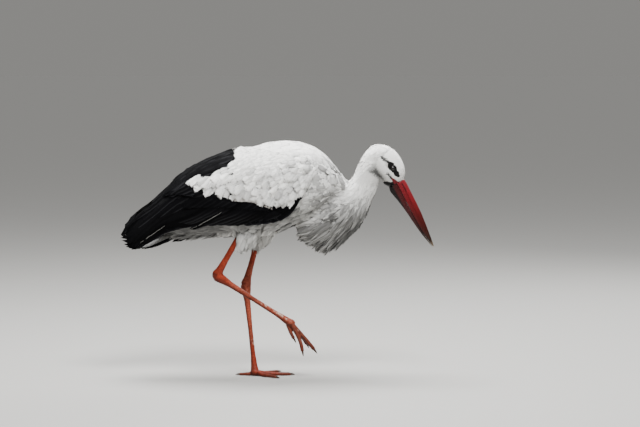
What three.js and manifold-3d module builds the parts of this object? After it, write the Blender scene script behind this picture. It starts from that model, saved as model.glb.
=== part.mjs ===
// A life-size white stork in mid-stride: it stands on its left foot, with the right foot lifted and
// swinging forward, the neck lowered and the bill pointing down ahead of it.
// Units are millimetres. +X is forward, +Y is the bird's left and +Z is up. The origin is on the
// floor, under the palm of the standing foot.
// Each solid reaches to the tips of the plumage that covers it.

import * as THREE from "three";
import { mergeVertices } from "three/addons/utils/BufferGeometryUtils.js";
import Module from "manifold-3d";

const wasm = await Module();
wasm.setup();

// ---------- driving dimensions ----------

const GAP = 0.35; // between neighbouring solids
const SIMPLIFY = 0.12; // how far an edge may move where small triangles are merged away
const SIDE = { right: -1, left: 1 };

const BILL_LENGTH = 173; // from the forehead's feathers to the tip
const BILL_PITCH = 59.6; // degrees below the horizon
const BILL_BASE = { x: 323.5, z: 448.5 };
const HEAD_LENGTH = 99;
const EYE = { back: 32.5, up: 10, out: 20.5, radius: 6.6 };

const KNEE = { right: [-3, -44, 383], left: [21, 44, 370] };
const ANKLE = { right: [-87, -46, 237], left: [-23, 36, 207] };
const PALM = { right: [82, -36, 127.5], left: [-1, 0, 8.3] };
const SHANK_RADIUS = 7.2;
const PALM_RADIUS = 10.5;
const SOLE_SINK = 1.2; // how far each pad's round underside is cut flat by the floor

// The feathered thighs from the top down: x, z, half depth, half width.
const THIGH = {
  right: [
    [-2, 392, 30, 20],
    [-7, 366, 33, 24],
    [-14, 342, 33, 22],
    [-20, 327, 28, 18],
    [-25, 317, 19, 13.5],
  ],
  left: [
    [19, 372, 33, 22],
    [17, 348, 36, 24],
    [12, 328, 32, 21],
    [7, 311, 23, 17],
    [2, 295, 11.5, 11],
  ],
};
const THIGH_OUT = { right: -45, left: 43 };

// Toes: length without the claw, root radius, and number of joints.
const TOES = {
  hind: { length: 30, radius: 4.6, joints: 2 },
  inner: { length: 60, radius: 4.9, joints: 3 },
  middle: { length: 76, radius: 5.2, joints: 4 },
  outer: { length: 66, radius: 4.8, joints: 5 },
};
const TOE_TAPER = 0.72; // the last joint's radius, as a share of the root's
const TOE_PAD = 1.1; // how much a joint swells
const CLAW_LENGTH = 10;
// Degrees each standing toe turns out from straight ahead, towards the outer side of the foot.
const TOE_SPREAD = { hind: 172, inner: -40, middle: 2, outer: 43 };
// The lifted foot's toes hang together: degrees below the horizon of the root and of the tip,
// and how far the tip stands out towards the outer side of the foot.
const TOE_HANG = {
  hind: { root: 72, tip: 58, out: 2 },
  inner: { root: 50, tip: 62, out: -15 },
  middle: { root: 47, tip: 52, out: 0 },
  outer: { root: 58, tip: 84, out: 10 },
};
const HIND_ROOT = { behind: 6, below: 4 }; // of the lifted foot's palm

// The tail and wing tips lean over to the left, and the left wing hangs a little lower and
// shorter.
const LEAN = { degrees: 13, from: 40, to: 250, axisZ: 372, tailAxisZ: 335 };
const LEFT_DROOP = { depth: 6, from: 20, to: 240 };
const LEFT_TIP_DRAWN_IN = 30;

// Stations along the body: x, top of the back, underside, half width.
const TRUNK = [
  [-216, 350, 338, 8],
  [-203, 370, 330, 22],
  [-172, 412, 321, 41],
  [-130, 456, 320, 57],
  [-80, 496, 324, 70],
  [-20, 524, 324, 79],
  [40, 541, 326, 82],
  [70, 544, 338, 81],
  [92, 543, 350, 80],
  [130, 532, 362, 72],
  [165, 509, 384, 60],
  [190, 479, 408, 45],
  [208, 454, 424, 26],
  [215, 444, 433, 8],
];
const BELLY_TAPER = 0.07; // the section is this much wider above its middle, and narrower below

// Stations down the neck, from the head to the tips of the breast plumes:
// step, nape x and z, throat x and z, half width.
const NECK = [
  [0, 260, 525, 287, 447, 22],
  [1, 247, 509, 281, 433, 25],
  [2, 237, 487, 272, 414, 26],
  [3, 226, 461, 260, 383, 28],
  [4, 212, 447, 244, 353, 33],
  [5, 188, 440, 221, 329, 39],
  [6, 156, 428, 190, 308, 42],
  [7, 123, 408, 156, 300, 36],
  [8, 103, 378, 122, 306, 24],
  [9, 94, 352, 99, 334, 10],
];
const PLUME_TAPER = 0.24; // the plumes are narrower at the throat than at the nape

// Stations back along the head from the bill: distance, top and underside off the axis, half width.
const HEAD = [
  [-3, 19.5, -17, 12],
  [5, 27, -21, 16],
  [20, 34.5, -27, 22],
  [42, 37.5, -31, 26],
  [64, 34.5, -31, 27],
  [80, 27, -28, 24],
  [91, 15.5, -22, 17],
  [HEAD_LENGTH, 2, -10, 5],
];

// Stations along the bill from its base: distance, culmen, mouth line, underside, half width.
const BILL = [
  [-16, 19, 1.5, -17, 12.5],
  [0, 20.2, 0.8, -19.2, 13],
  [20, 18.4, 0.2, -17, 11.6],
  [45, 17, -1.2, -14.2, 10.2],
  [84, 14.6, -3.6, -12.2, 8],
  [121, 9.8, -4.6, -9.8, 5.6],
  [150, 5.4, -3.2, -6.4, 3.6],
  [167, 2.6, -1.3, -3, 1.9],
  [BILL_LENGTH, 1.2, -0.5, -1.6, 0.9],
];
const MOUTH_GAP = 0.6;
const LOWER_BILL_WIDTH = 0.93; // of the upper bill's

// Stations along a folded wing: x, top edge z, widest z, lower edge z,
// half width at the top edge and at the widest, and the wing's thickness.
const WING = [
  [-308, 328, 320, 312, 12, 15, 2.4],
  [-300, 346, 324, 301, 8, 22, 4],
  [-284, 368, 336, 294, 5, 31, 6],
  [-258, 392, 352, 305, 3, 40, 8],
  [-226, 414, 370, 322, 1.5, 50, 9],
  [-200, 443, 382, 334, 1, 58, 10],
  [-174, 468, 396, 338, 1, 67, 11],
  [-140, 490, 412, 339, 1.5, 77, 13],
  [-92, 513, 428, 348, 4, 88, 14],
  [-40, 528, 440, 352, 12, 95, 15],
  [10, 530, 448, 359, 22, 97, 15],
  [40, 528, 452, 366, 29, 96, 15],
  [64, 524, 458, 377, 34, 94, 15],
  [103, 515, 464, 411, 44, 87, 14],
  [125, 509, 468, 432, 52, 79, 12],
  [138, 500, 471, 448, 56, 71, 9],
  [146, 489, 474, 463, 58, 65, 6],
  [149, 481, 475, 470, 59, 62, 4],
];
const WING_CURL = 38; // degrees that the lower edge turns in under the widest line
const WING_EDGE = 0.16; // edge thickness, as a share of the middle's

// The white coverts' outline on the side of the folded wing: x, z.
const COVERTS = [
  [-152, 455],
  [-130, 468],
  [-116, 473],
  [-101, 468],
  [-77, 482],
  [-50, 490],
  [-50, 512],
  [-52, 560],
  [170, 560],
  [170, 440],
  [118, 406],
  [66, 384],
  [40, 392],
  [12, 403],
  [-12, 408],
  [-46, 410],
  [-81, 416],
  [-116, 426],
  [-130, 430],
  [-133, 444],
];

// Stations along the tail from inside the rump: distance, half width, half thickness.
const TAIL = [
  [0, 20, 6],
  [40, 28, 5],
  [80, 37, 3.6],
  [120, 44, 2.4],
  [140, 44, 1.6],
  [148, 36, 1.1],
];
const TAIL_ROOT = { x: -138, z: 359 };
const TAIL_PITCH = 25.5; // degrees below the horizon
const TAIL_ARCH = 5; // how far the tail's edges hang below its middle

// ---------- shape helpers ----------

const radians = THREE.MathUtils.degToRad;
const { smoothstep } = THREE.MathUtils;
const point = (x, y, z) => new THREE.Vector3(x, y, z);

// Slopes of a curve through values at the places given, which doesn't overshoot them.
function steadySlopes(places, values) {
  const rise = values.slice(1).map((v, i) => (v - values[i]) / (places[i + 1] - places[i]));
  return values.map((_, i) => {
    if (i === 0) return rise[0];
    if (i === values.length - 1) return rise[i - 1];
    const [before, after] = [rise[i - 1], rise[i]];
    return before * after <= 0 ? 0 : (2 * before * after) / (before + after);
  });
}

// A function from a place to the smoothly interpolated values of rows of [place, value, ...].
function stations(rows) {
  const places = rows.map((row) => row[0]);
  const slopes = rows[0].map((_, k) => steadySlopes(places, rows.map((row) => row[k])));
  return (place) => {
    let i = 0;
    while (i < rows.length - 2 && place > places[i + 1]) i++;
    const span = places[i + 1] - places[i];
    const t = THREE.MathUtils.clamp((place - places[i]) / span, 0, 1);
    const fromStart = (1 + 2 * t) * (1 - t) ** 2;
    const slopeStart = t * (1 - t) ** 2 * span;
    const slopeEnd = -t * t * (1 - t) * span;
    return rows[i].slice(1).map((value, k) => {
      const end = rows[i + 1][k + 1];
      const bend = slopes[k + 1][i] * slopeStart + slopes[k + 1][i + 1] * slopeEnd;
      return value * fromStart + end * (1 - fromStart) + bend;
    });
  };
}

// Places from the first row to the last, closest together near both ends.
function spaced(rows, count) {
  const first = rows[0][0];
  const length = rows[rows.length - 1][0] - first;
  const even = Array.from({ length: count }, (_, i) => i / (count - 1));
  const eased = (t) => 0.45 * t + 0.55 * (0.5 - 0.5 * Math.cos(Math.PI * t));
  return even.map((t) => first + length * eased(t));
}

function solidOf(geometry) {
  const bare = geometry.clone();
  bare.deleteAttribute("normal");
  bare.deleteAttribute("uv");
  const merged = mergeVertices(bare, 1e-3);
  const make = (index) =>
    new wasm.Manifold(
      new wasm.Mesh({
        numProp: 3,
        vertProperties: new Float32Array(merged.attributes.position.array),
        triVerts: index,
      }),
    );
  const index = new Uint32Array(merged.index.array);
  const solid = make(index);
  return solid.volume() > 0 ? solid : make(index.reverse());
}

// A closed solid over rings of equally many points, each end closed by a fan.
function loft(rings) {
  const around = rings[0].length;
  const points = rings.flat();
  const index = [];
  for (let i = 0; i + 1 < rings.length; i++)
    for (let j = 0; j < around; j++) {
      const a = i * around + j;
      const b = i * around + ((j + 1) % around);
      index.push(a, b, b + around, a, b + around, a + around);
    }
  const close = (ring, start, flip) => {
    const middle = ring.reduce((sum, p) => sum.add(p), point(0, 0, 0)).divideScalar(around);
    for (let j = 0; j < around; j++) {
      const pair = [start + j, start + ((j + 1) % around)];
      index.push(points.length, ...(flip ? pair.reverse() : pair));
    }
    points.push(middle);
  };
  close(rings[0], 0, true);
  close(rings[rings.length - 1], (rings.length - 1) * around, false);
  const geometry = new THREE.BufferGeometry().setFromPoints(points);
  return solidOf(geometry.setIndex(index));
}

// An oval ring: a middle and its two half axes.
function oval(middle, first, second, count) {
  return Array.from({ length: count }, (_, j) => {
    const angle = (2 * Math.PI * j) / count;
    const place = middle.clone().addScaledVector(first, Math.cos(angle));
    return place.addScaledVector(second, Math.sin(angle));
  });
}

// A round-ended limb through [point, half depth, half width] steps, with its width along across.
function limb(steps, across, sides, grow) {
  const rings = [];
  const last = steps.length - 1;
  steps.forEach(([place, depth, width], i) => {
    const before = steps[Math.max(i - 1, 0)][0];
    const after = steps[Math.min(i + 1, last)][0];
    const along = after.clone().sub(before).normalize();
    const out = across.clone().addScaledVector(along, -across.dot(along)).normalize();
    const up = out.clone().cross(along);
    const ring = (slide, scale) =>
      oval(
        place.clone().addScaledVector(along, slide * (depth + grow)),
        up.clone().multiplyScalar((depth + grow) * scale),
        out.clone().multiplyScalar((width + grow) * scale),
        sides,
      );
    if (i === 0) rings.push(ring(-0.8, 0.55));
    rings.push(ring(0, 1));
    if (i === last) rings.push(ring(0.55, 0.8), ring(0.85, 0.4));
  });
  return loft(rings);
}

function ball([x, y, z], radii, grow, detail = 2) {
  const geometry = new THREE.IcosahedronGeometry(1, detail);
  geometry.scale(...radii.map((r) => r + grow)).translate(x, y, z);
  return solidOf(geometry);
}

// The half of space on the far side of a plane, as a box. normal points into it.
function halfSpace(origin, normal) {
  const size = 2000;
  const geometry = new THREE.BoxGeometry(size, size, size).translate(0, 0, size / 2);
  const turn = new THREE.Quaternion().setFromUnitVectors(point(0, 0, 1), normal.clone().normalize());
  return solidOf(geometry.applyQuaternion(turn).translate(origin.x, origin.y, origin.z));
}

const aboveFloor = halfSpace(point(0, 0, 0), point(0, 0, 1));

function largestBody(solid) {
  const bodies = solid.decompose();
  return bodies.reduce((best, body) => (body.volume() > best.volume() ? body : best));
}

// Leans the points of the tail and wing tips over, about a line along the body.
function lean(points, axisZ = LEAN.axisZ) {
  for (const p of points) {
    const { x, y, z } = p;
    const turn = radians(LEAN.degrees) * smoothstep(-x, LEAN.from, LEAN.to);
    p.y = y * Math.cos(turn) + (z - axisZ) * Math.sin(turn);
    p.z = axisZ + (z - axisZ) * Math.cos(turn) - y * Math.sin(turn);
  }
  return points;
}

// ---------- body, neck and head ----------

const trunkAt = stations(TRUNK);
const neckAt = stations(NECK);
const headAt = stations(HEAD);
const billAt = stations(BILL);
const wingAt = stations(WING);
const tailAt = stations(TAIL);

function trunkSolid(grow) {
  const rings = spaced(TRUNK, 17).map((x, i, all) => {
    const [top, bottom, half] = trunkAt(x);
    const end = i === 0 ? -grow : i === all.length - 1 ? grow : 0;
    const count = 20;
    const ring = Array.from({ length: count }, (_, j) => {
      const angle = (2 * Math.PI * j) / count;
      const width = (half + grow) * (1 + BELLY_TAPER * Math.sin(angle));
      const height = (top - bottom) / 2 + grow;
      const y = width * Math.cos(angle);
      return point(x + end, y, (top + bottom) / 2 + height * Math.sin(angle));
    });
    return lean(ring);
  });
  return loft(rings);
}

function neckSolid(grow) {
  const rings = spaced(NECK, 15).map((step) => {
    const [napeX, napeZ, throatX, throatZ, half] = neckAt(step);
    const middle = point((napeX + throatX) / 2, 0, (napeZ + throatZ) / 2);
    const towardsThroat = point(throatX, 0, throatZ).sub(middle);
    const depth = towardsThroat.length();
    towardsThroat.multiplyScalar((depth + grow) / depth);
    const count = 18;
    return Array.from({ length: count }, (_, j) => {
      const angle = (2 * Math.PI * j) / count;
      const width = (half + grow) * (1 - PLUME_TAPER * Math.cos(angle));
      const place = middle.clone().addScaledVector(towardsThroat, Math.cos(angle));
      return place.setY(width * Math.sin(angle));
    });
  });
  return loft(rings);
}

// The head's own axes: forward along the bill, and up towards the crown.
const billForward = point(Math.cos(radians(BILL_PITCH)), 0, -Math.sin(radians(BILL_PITCH)));
const headUp = point(Math.sin(radians(BILL_PITCH)), 0, Math.cos(radians(BILL_PITCH)));

// A point given by its distance ahead of the bill's base, its height off the axis and its y.
function onHead(ahead, up, y) {
  const place = point(BILL_BASE.x, y, BILL_BASE.z);
  return place.addScaledVector(billForward, ahead).addScaledVector(headUp, up);
}

function headSolid(grow) {
  const rings = spaced(HEAD, 12).map((back, i, all) => {
    const [top, bottom, half] = headAt(back);
    const end = i === 0 ? grow : i === all.length - 1 ? -grow : 0;
    const middle = onHead(-back + end, (top + bottom) / 2, 0);
    const up = headUp.clone().multiplyScalar((top - bottom) / 2 + grow);
    return oval(middle, up, point(0, half + grow, 0), 20);
  });
  return loft(rings);
}

// The cuts between trunk and neck, and between neck and head.
const neckRoot = { origin: point(214, 0, 446), normal: point(0.72, 0, -0.69) };
const headRoot = { origin: point(264, 0, 486), normal: point(0.8, 0, 0.6) };

function bodyPiece(name, grow) {
  const whole = wasm.Manifold.union([trunkSolid(grow), neckSolid(grow), headSolid(grow)]);
  const slide = (cut, by) =>
    halfSpace(cut.origin.clone().addScaledVector(cut.normal.clone().normalize(), by), cut.normal);
  const half = GAP / 2 - grow;
  if (name === "trunk") return largestBody(whole.subtract(slide(neckRoot, -half)));
  if (name === "head") return largestBody(whole.intersect(slide(headRoot, half)));
  const belowHead = whole.subtract(slide(headRoot, -half));
  return largestBody(belowHead.intersect(slide(neckRoot, half)));
}

// One half of the bill: share runs 0 to 1 over its round side, from one edge to the other.
function billSolid(upper, grow) {
  const rings = spaced(BILL, 10).map((ahead, i, all) => {
    const [culmen, mouth, under, half] = billAt(ahead);
    const count = 10;
    const width = (half + grow) * (upper ? 1 : LOWER_BILL_WIDTH);
    const edge = mouth + ((upper ? 1 : -1) * MOUTH_GAP) / 2 - (upper ? grow : -grow);
    const rise = upper ? culmen + grow - edge : under - grow - edge;
    const end = i === all.length - 1 ? grow : 0;
    return Array.from({ length: count }, (_, j) => {
      const angle = (Math.PI * j) / (count - 1);
      return onHead(ahead + end, edge + rise * Math.sin(angle), width * Math.cos(angle));
    });
  });
  return loft(rings);
}

function eyeSolid(side, grow) {
  const { x, y, z } = onHead(-EYE.back, EYE.up, SIDE[side] * EYE.out);
  return ball([x, y, z], [EYE.radius, EYE.radius, EYE.radius], grow, 1);
}

// ---------- wings and tail ----------

const leftDroop = (x) => LEFT_DROOP.depth * smoothstep(-x, LEFT_DROOP.from, LEFT_DROOP.to);
const leftDrawnIn = (x) => LEFT_TIP_DRAWN_IN * smoothstep(-x, 140, 330);

function wingSolid(side, grow) {
  const drop = side === "left" ? leftDroop : () => 0;
  const drawnIn = side === "left" ? leftDrawnIn : () => 0;
  const steps = 8;
  const rings = spaced(WING, 19).map((x, i, all) => {
    const [topZ, wideZ, lowZ, topY, wideY, thick] = wingAt(x);
    const end = (i === 0 ? -grow : i === all.length - 1 ? grow : 0) + drawnIn(x);
    const outer = [];
    for (let k = 0; k < steps; k++) {
      const angle = ((90 + WING_CURL) * k) / (steps - 1);
      const turn = Math.sin(radians(angle));
      const lower = (angle - 90) / WING_CURL;
      const z = lower > 0 ? wideZ - (wideZ - lowZ) * Math.sin((lower * Math.PI) / 2)
        : wideZ + (topZ - wideZ) * Math.cos(radians(angle));
      outer.push([topY + (wideY - topY) * turn, z]);
    }
    // The inner face follows the outer at the wing's thickness, thin at both edges.
    const inner = outer.map(([y, z], k) => {
      const [y0, z0] = outer[Math.max(k - 1, 0)];
      const [y1, z1] = outer[Math.min(k + 1, steps - 1)];
      const length = Math.hypot(y1 - y0, z1 - z0) || 1;
      const share = WING_EDGE + (1 - WING_EDGE) * Math.sin((Math.PI * k) / (steps - 1)) ** 0.7;
      const depth = thick * share + 2 * grow;
      return [y + ((z1 - z0) / length) * depth, z - ((y1 - y0) / length) * depth];
    });
    const ring = [...outer, ...inner.reverse()].map(([y, z]) =>
      point(x + end, SIDE[side] * Math.max(y + grow, GAP / 2), z - drop(x)),
    );
    return lean(ring);
  });
  return loft(rings);
}

// A block through the wing with the outline of the white coverts.
function covertsBlock(side, grow) {
  const drop = side === "left" ? leftDroop : () => 0;
  const corners = COVERTS.map(([x, z]) => new THREE.Vector2(x, z - drop(x)));
  const clockwise = THREE.ShapeUtils.isClockWise(corners) ? -1 : 1;
  const grown = corners.map((corner, i) => {
    const before = corners[(i + corners.length - 1) % corners.length];
    const after = corners[(i + 1) % corners.length];
    const along = after.clone().sub(before).normalize();
    return corner.clone().add(new THREE.Vector2(along.y, -along.x).multiplyScalar(clockwise * grow));
  });
  const depth = 120;
  const block = new THREE.ExtrudeGeometry(new THREE.Shape(grown), { depth, bevelEnabled: false });
  block.rotateX(Math.PI / 2);
  return solidOf(block.translate(0, side === "left" ? depth : 0, 0));
}

function tailSolid(grow) {
  const forward = point(-Math.cos(radians(TAIL_PITCH)), 0, -Math.sin(radians(TAIL_PITCH)));
  const up = point(-forward.z, 0, forward.x).multiplyScalar(-1);
  const rings = spaced(TAIL, 9).map((back, i, all) => {
    const [half, thick] = tailAt(back);
    const end = i === all.length - 1 ? grow : 0;
    const middle = point(TAIL_ROOT.x, 0, TAIL_ROOT.z).addScaledVector(forward, back + end);
    const ring = oval(middle, point(0, half + grow, 0), up.clone().multiplyScalar(thick + grow), 16);
    const arched = ring.map((p) => p.addScaledVector(up, -TAIL_ARCH * (p.y / (half + grow)) ** 2));
    return lean(arched, LEAN.tailAxisZ);
  });
  return loft(rings);
}

// ---------- legs ----------

const at = ([x, y, z]) => point(x, y, z);
const along = (from, to, share) => from.clone().lerp(to, share);

function legPoints(side) {
  return { knee: at(KNEE[side]), ankle: at(ANKLE[side]), palm: at(PALM[side]) };
}

// The feathered thigh, from the body down over the top of the bare shank.
function thighSolid(side, grow) {
  const steps = THIGH[side].map(([x, z, depth, width]) => [
    point(x, THIGH_OUT[side], z),
    depth,
    width,
  ]);
  return limb(steps, point(0, 1, 0), 16, grow);
}

function shankSolid(side, grow) {
  const { knee, ankle } = legPoints(side);
  const r = SHANK_RADIUS;
  const steps = [
    [along(knee, ankle, 0.42), r, r * 0.9],
    [along(knee, ankle, 0.74), r * 1.04, r * 0.9],
    [along(knee, ankle, 0.9), r * 1.3, r * 1.15],
    [along(knee, ankle, 0.98), r * 1.78, r * 1.3],
  ];
  return limb(steps, point(0, 1, 0), 12, grow);
}

function tarsusSolid(side, grow) {
  const { ankle, palm } = legPoints(side);
  const r = SHANK_RADIUS;
  const steps = [
    [along(ankle, palm, 0.01), r * 1.78, r * 1.34],
    [along(ankle, palm, 0.07), r * 1.6, r * 1.2],
    [along(ankle, palm, 0.18), r * 1.1, r * 0.88],
    [along(ankle, palm, 0.5), r * 0.82, r * 0.7],
    [along(ankle, palm, 0.8), r * 0.88, r * 0.76],
    [along(ankle, palm, 0.93), r * 1.16, r * 1.08],
    [palm, r * 1.26, r * 1.3],
  ];
  const pad = ball(PALM[side], [PALM_RADIUS, PALM_RADIUS, PALM_RADIUS - 1], grow, 1);
  return limb(steps, point(0, 1, 0), 12, grow).add(pad).intersect(aboveFloor);
}

// The middle line of a toe, as equal steps from the palm: standing flat, or hanging.
function toeLine(side, name) {
  const { length } = TOES[name];
  const { palm } = legPoints(side);
  const steps = 5;
  const line = [palm.clone()];
  if (side === "right" && name === "hind")
    line[0].add(point(-HIND_ROOT.behind, 0, -HIND_ROOT.below));
  for (let i = 0; i < steps; i++) {
    const share = (i + 0.5) / steps;
    const step = (length + PALM_RADIUS * 0.3) / steps;
    const last = line[i].clone();
    if (side === "left") {
      const turn = radians(TOE_SPREAD[name]);
      last.add(point(Math.cos(turn), Math.sin(turn), 0).multiplyScalar(step));
      last.z = palm.z + (toeRadius(name, 1) - palm.z - SOLE_SINK) * Math.min(1, 3 * share);
      last.z = Math.max(last.z, toeRadius(name, share) - SOLE_SINK);
    } else {
      const hang = TOE_HANG[name];
      const dip = radians(THREE.MathUtils.lerp(hang.root, hang.tip, share ** 2));
      const out = (SIDE[side] * hang.out) / length;
      const level = Math.sqrt(1 - out * out);
      last.add(point(Math.cos(dip) * level, out, -Math.sin(dip) * level).multiplyScalar(step));
    }
    line.push(last);
  }
  return line;
}

function toeRadius(name, share) {
  const { radius, joints } = TOES[name];
  const taper = THREE.MathUtils.lerp(1, TOE_TAPER, share);
  const pad = (TOE_PAD - 1) * Math.cos(2 * Math.PI * joints * share * 0.5) ** 2;
  return radius * taper * (1 + pad);
}

function toeSolid(side, name, grow) {
  const line = toeLine(side, name);
  const steps = line.map((place, i) => {
    const r = toeRadius(name, i / (line.length - 1));
    return [place, r, r * 1.06];
  });
  const ahead = line[line.length - 1].clone().sub(line[0]);
  const across = side === "left" ? point(-ahead.y, ahead.x, 0) : point(0, 1, 0);
  return limb(steps, across, 8, grow).intersect(aboveFloor);
}

function clawSolid(side, name, grow) {
  const line = toeLine(side, name);
  const tip = line[line.length - 1];
  const ahead = tip.clone().sub(line[line.length - 2]).normalize();
  const r = toeRadius(name, 1) * 0.72;
  const rise = side === "left" ? 0.6 : 0;
  const steps = [0, 0.5, 1].map((share) => {
    const place = tip.clone().addScaledVector(ahead, r + share * CLAW_LENGTH);
    const size = r * (1 - 0.72 * share ** 1.5);
    place.z += rise - share ** 2 * 1.2;
    if (side === "left") place.z = Math.max(place.z, size);
    return [place, size, size * 0.85];
  });
  const across = side === "left" ? point(-ahead.y, ahead.x, 0) : point(0, 1, 0);
  return limb(steps, across, 6, grow).intersect(aboveFloor);
}

// ---------- assembly ----------

const finish = (color, roughness) => ({ color, roughness, metalness: 0 });
const FINISHES = {
  whitePlumage: finish(0xe9e8e4, 0.9),
  blackPlumage: finish(0x101012, 0.5),
  redHorn: finish(0xa32a22, 0.35),
  redSkin: finish(0xb84a36, 0.6),
  claw: finish(0x3a2a26, 0.5),
  eye: finish(0x0a0707, 0.1),
};

function geometryOf(solid) {
  const { numProp, numVert, vertProperties, triVerts } = solid.getMesh();
  const positions = new Float32Array(numVert * 3);
  for (let i = 0; i < numVert; i++)
    positions.set(vertProperties.subarray(i * numProp, i * numProp + 3), i * 3);
  const geometry = new THREE.BufferGeometry();
  geometry.setAttribute("position", new THREE.BufferAttribute(positions, 3));
  geometry.setIndex(new THREE.BufferAttribute(triVerts, 1));
  return geometry;
}

const pieces = []; // in the order they were made: a later piece gives way to those before it
const piece = (name, finishName, make) => pieces.push({ name, finishName, make });

for (const side of ["right", "left"])
  piece(`eye_${side}`, "eye", (grow) => eyeSolid(side, grow));
for (const name of ["trunk", "neck", "head"])
  piece(name, "whitePlumage", (grow) => bodyPiece(name, grow));
piece("bill_upper", "redHorn", (grow) => billSolid(true, grow));
piece("bill_lower", "redHorn", (grow) => billSolid(false, grow));
piece("tail", "whitePlumage", tailSolid);
for (const side of ["right", "left"]) {
  piece(`thigh_${side}`, "whitePlumage", (grow) => thighSolid(side, grow));
  piece(`wing_${side}_coverts`, "whitePlumage", (grow) =>
    wingSolid(side, grow).intersect(covertsBlock(side, grow)),
  );
  piece(`wing_${side}_flight`, "blackPlumage", (grow) =>
    wingSolid(side, grow).subtract(covertsBlock(side, GAP - grow)),
  );
  piece(`tarsus_${side}`, "redSkin", (grow) => tarsusSolid(side, grow));
  piece(`shank_${side}`, "redSkin", (grow) => shankSolid(side, grow));
  for (const toe of Object.keys(TOES)) {
    piece(`toe_${toe}_${side}`, "redSkin", (grow) => toeSolid(side, toe, grow));
    piece(`claw_${toe}_${side}`, "claw", (grow) => clawSolid(side, toe, grow));
  }
}

const stork = new THREE.Group();
const placed = [];
for (const { name, finishName, make } of pieces) {
  let solid = make(0);
  for (const { box, grown } of placed) {
    const own = solid.boundingBox();
    if (own.min.every((low, k) => low < box.max[k] && box.min[k] < own.max[k]))
      solid = solid.subtract(grown);
  }
  const rounded = solidOf(geometryOf(largestBody(solid.simplify(SIMPLIFY))));
  const mesh = new THREE.Mesh(
    geometryOf(largestBody(rounded)),
    new THREE.MeshStandardMaterial(FINISHES[finishName]),
  );
  mesh.name = name;
  stork.add(mesh);
  const grown = make(GAP);
  placed.push({ box: grown.boundingBox(), grown });
}

export default stork;
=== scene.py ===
"""A white stork as a still, life-size museum model: skin, face, bill, claws, plumage, light and camera.

The frame is in metres. The bird faces +X and its right side, towards -Y, is the one first seen.
"""

import math

import bmesh
import bpy
import numpy as np
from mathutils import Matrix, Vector
from mathutils.bvhtree import BVHTree
from mathutils.kdtree import KDTree


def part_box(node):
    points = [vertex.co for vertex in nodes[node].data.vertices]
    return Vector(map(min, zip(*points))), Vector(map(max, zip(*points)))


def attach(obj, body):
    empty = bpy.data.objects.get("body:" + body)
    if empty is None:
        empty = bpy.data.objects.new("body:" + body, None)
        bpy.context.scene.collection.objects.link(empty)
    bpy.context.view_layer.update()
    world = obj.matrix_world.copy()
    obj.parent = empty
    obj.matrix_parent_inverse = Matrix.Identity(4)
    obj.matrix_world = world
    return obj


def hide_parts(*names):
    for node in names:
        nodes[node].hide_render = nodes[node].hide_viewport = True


MM = 0.001
WELD = 0.02 * MM

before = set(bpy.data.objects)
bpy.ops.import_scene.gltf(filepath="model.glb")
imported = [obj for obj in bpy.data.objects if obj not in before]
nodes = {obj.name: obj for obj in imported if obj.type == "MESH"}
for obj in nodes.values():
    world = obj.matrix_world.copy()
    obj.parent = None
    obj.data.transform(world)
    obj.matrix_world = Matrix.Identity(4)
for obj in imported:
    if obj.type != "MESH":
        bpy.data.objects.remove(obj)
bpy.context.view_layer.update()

SIDES = {"right": -1.0, "left": 1.0}
TOES = ("hind", "inner", "middle", "outer")

# ---------------------------------------------------------------- colours

CHALK_WHITE = "#F6F5F1"
DOWN_AND_SHADE_GREY = "#8F8F8D"
SHADED_WHITE = "#DDDDDA"
SOOT_BLACK = "#050506"
EDGE_WEAR_AND_SHEEN_GREY = "#323234"
QUILL_PALE = "#B4B3AE"
DOWNY_SKIN = "#D8D4CF"
FACE_WHITE = "#E8E6E1"
MASK_BLACK = "#0B0A0A"
LEG_RED = "#95351F"
TARSUS_SALMON = "#A9543D"
LEG_DEEP = "#541B10"
LEG_CHALK = "#D9C2AE"
TOE_DUSK = "#5C3326"
BILL_RED = "#751D24"
BILL_WINE = "#68151A"
BILL_MAROON = "#4E1011"
BILL_BROWN = "#38140F"
BILL_DUSK = "#2E211A"
BILL_TAN = "#6E5E4A"
BILL_PALE = "#C9BFA0"
JAW_DEEP = "#350A0A"
JAW_RED = "#440B0E"
JAW_MAROON = "#390D0C"
JAW_DUSK = "#261713"
JAW_TAN = "#5B4C3C"
SKIN_MOTTLE = "#B9B4B2"
HORN_LINES = "#9C8E8B"
FULL_WHITE = "#FFFFFF"
HORN_BROWN = "#46342A"
IRIS_BROWN = "#0E0805"
PUPIL_BLACK = "#020202"
FLOOR_GREY = "#A8A7A3"
ROOM_WHITE = "#F4F4F5"
HORIZON_GREY = "#9A9996"


def linear(code):
    """The linear RGBA of an sRGB hex colour."""
    channels = [int(code[i : i + 2], 16) / 255 for i in (1, 3, 5)]
    light = [c / 12.92 if c <= 0.04045 else ((c + 0.055) / 1.055) ** 2.4 for c in channels]
    return (*light, 1.0)


# ---------------------------------------------------------------- small maths


def unit(rows):
    """Rows of vectors, each made one long."""
    return rows / np.maximum(np.linalg.norm(rows, axis=-1, keepdims=True), 1e-12)


def smooth(low, high, value):
    """0 below low, 1 above high, and an even curve between."""
    t = np.clip((value - low) / (high - low), 0, 1)
    return t * t * (3 - 2 * t)


def along_surface(ways, ups):
    """Directions laid flat on the surface whose normals are ups."""
    return unit(ways - ups * np.sum(ways * ups, axis=-1, keepdims=True))


def waviness(points, size, seed):
    """A cheap smooth noise in -1..1 from a few crossed waves, its features about size across."""
    random = np.random.default_rng(seed)
    total = np.zeros(len(points))
    for _ in range(6):
        way = unit(random.normal(size=3)) * random.uniform(0.7, 1.6) / size * math.tau / 2
        total += np.sin(points @ way + random.uniform(0, math.tau))
    return total / 3


# ---------------------------------------------------------------- mesh helpers


def deselect():
    for obj in bpy.context.selected_objects:
        obj.select_set(False)


def make_active(obj):
    deselect()
    obj.select_set(True)
    bpy.context.view_layer.objects.active = obj


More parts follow.
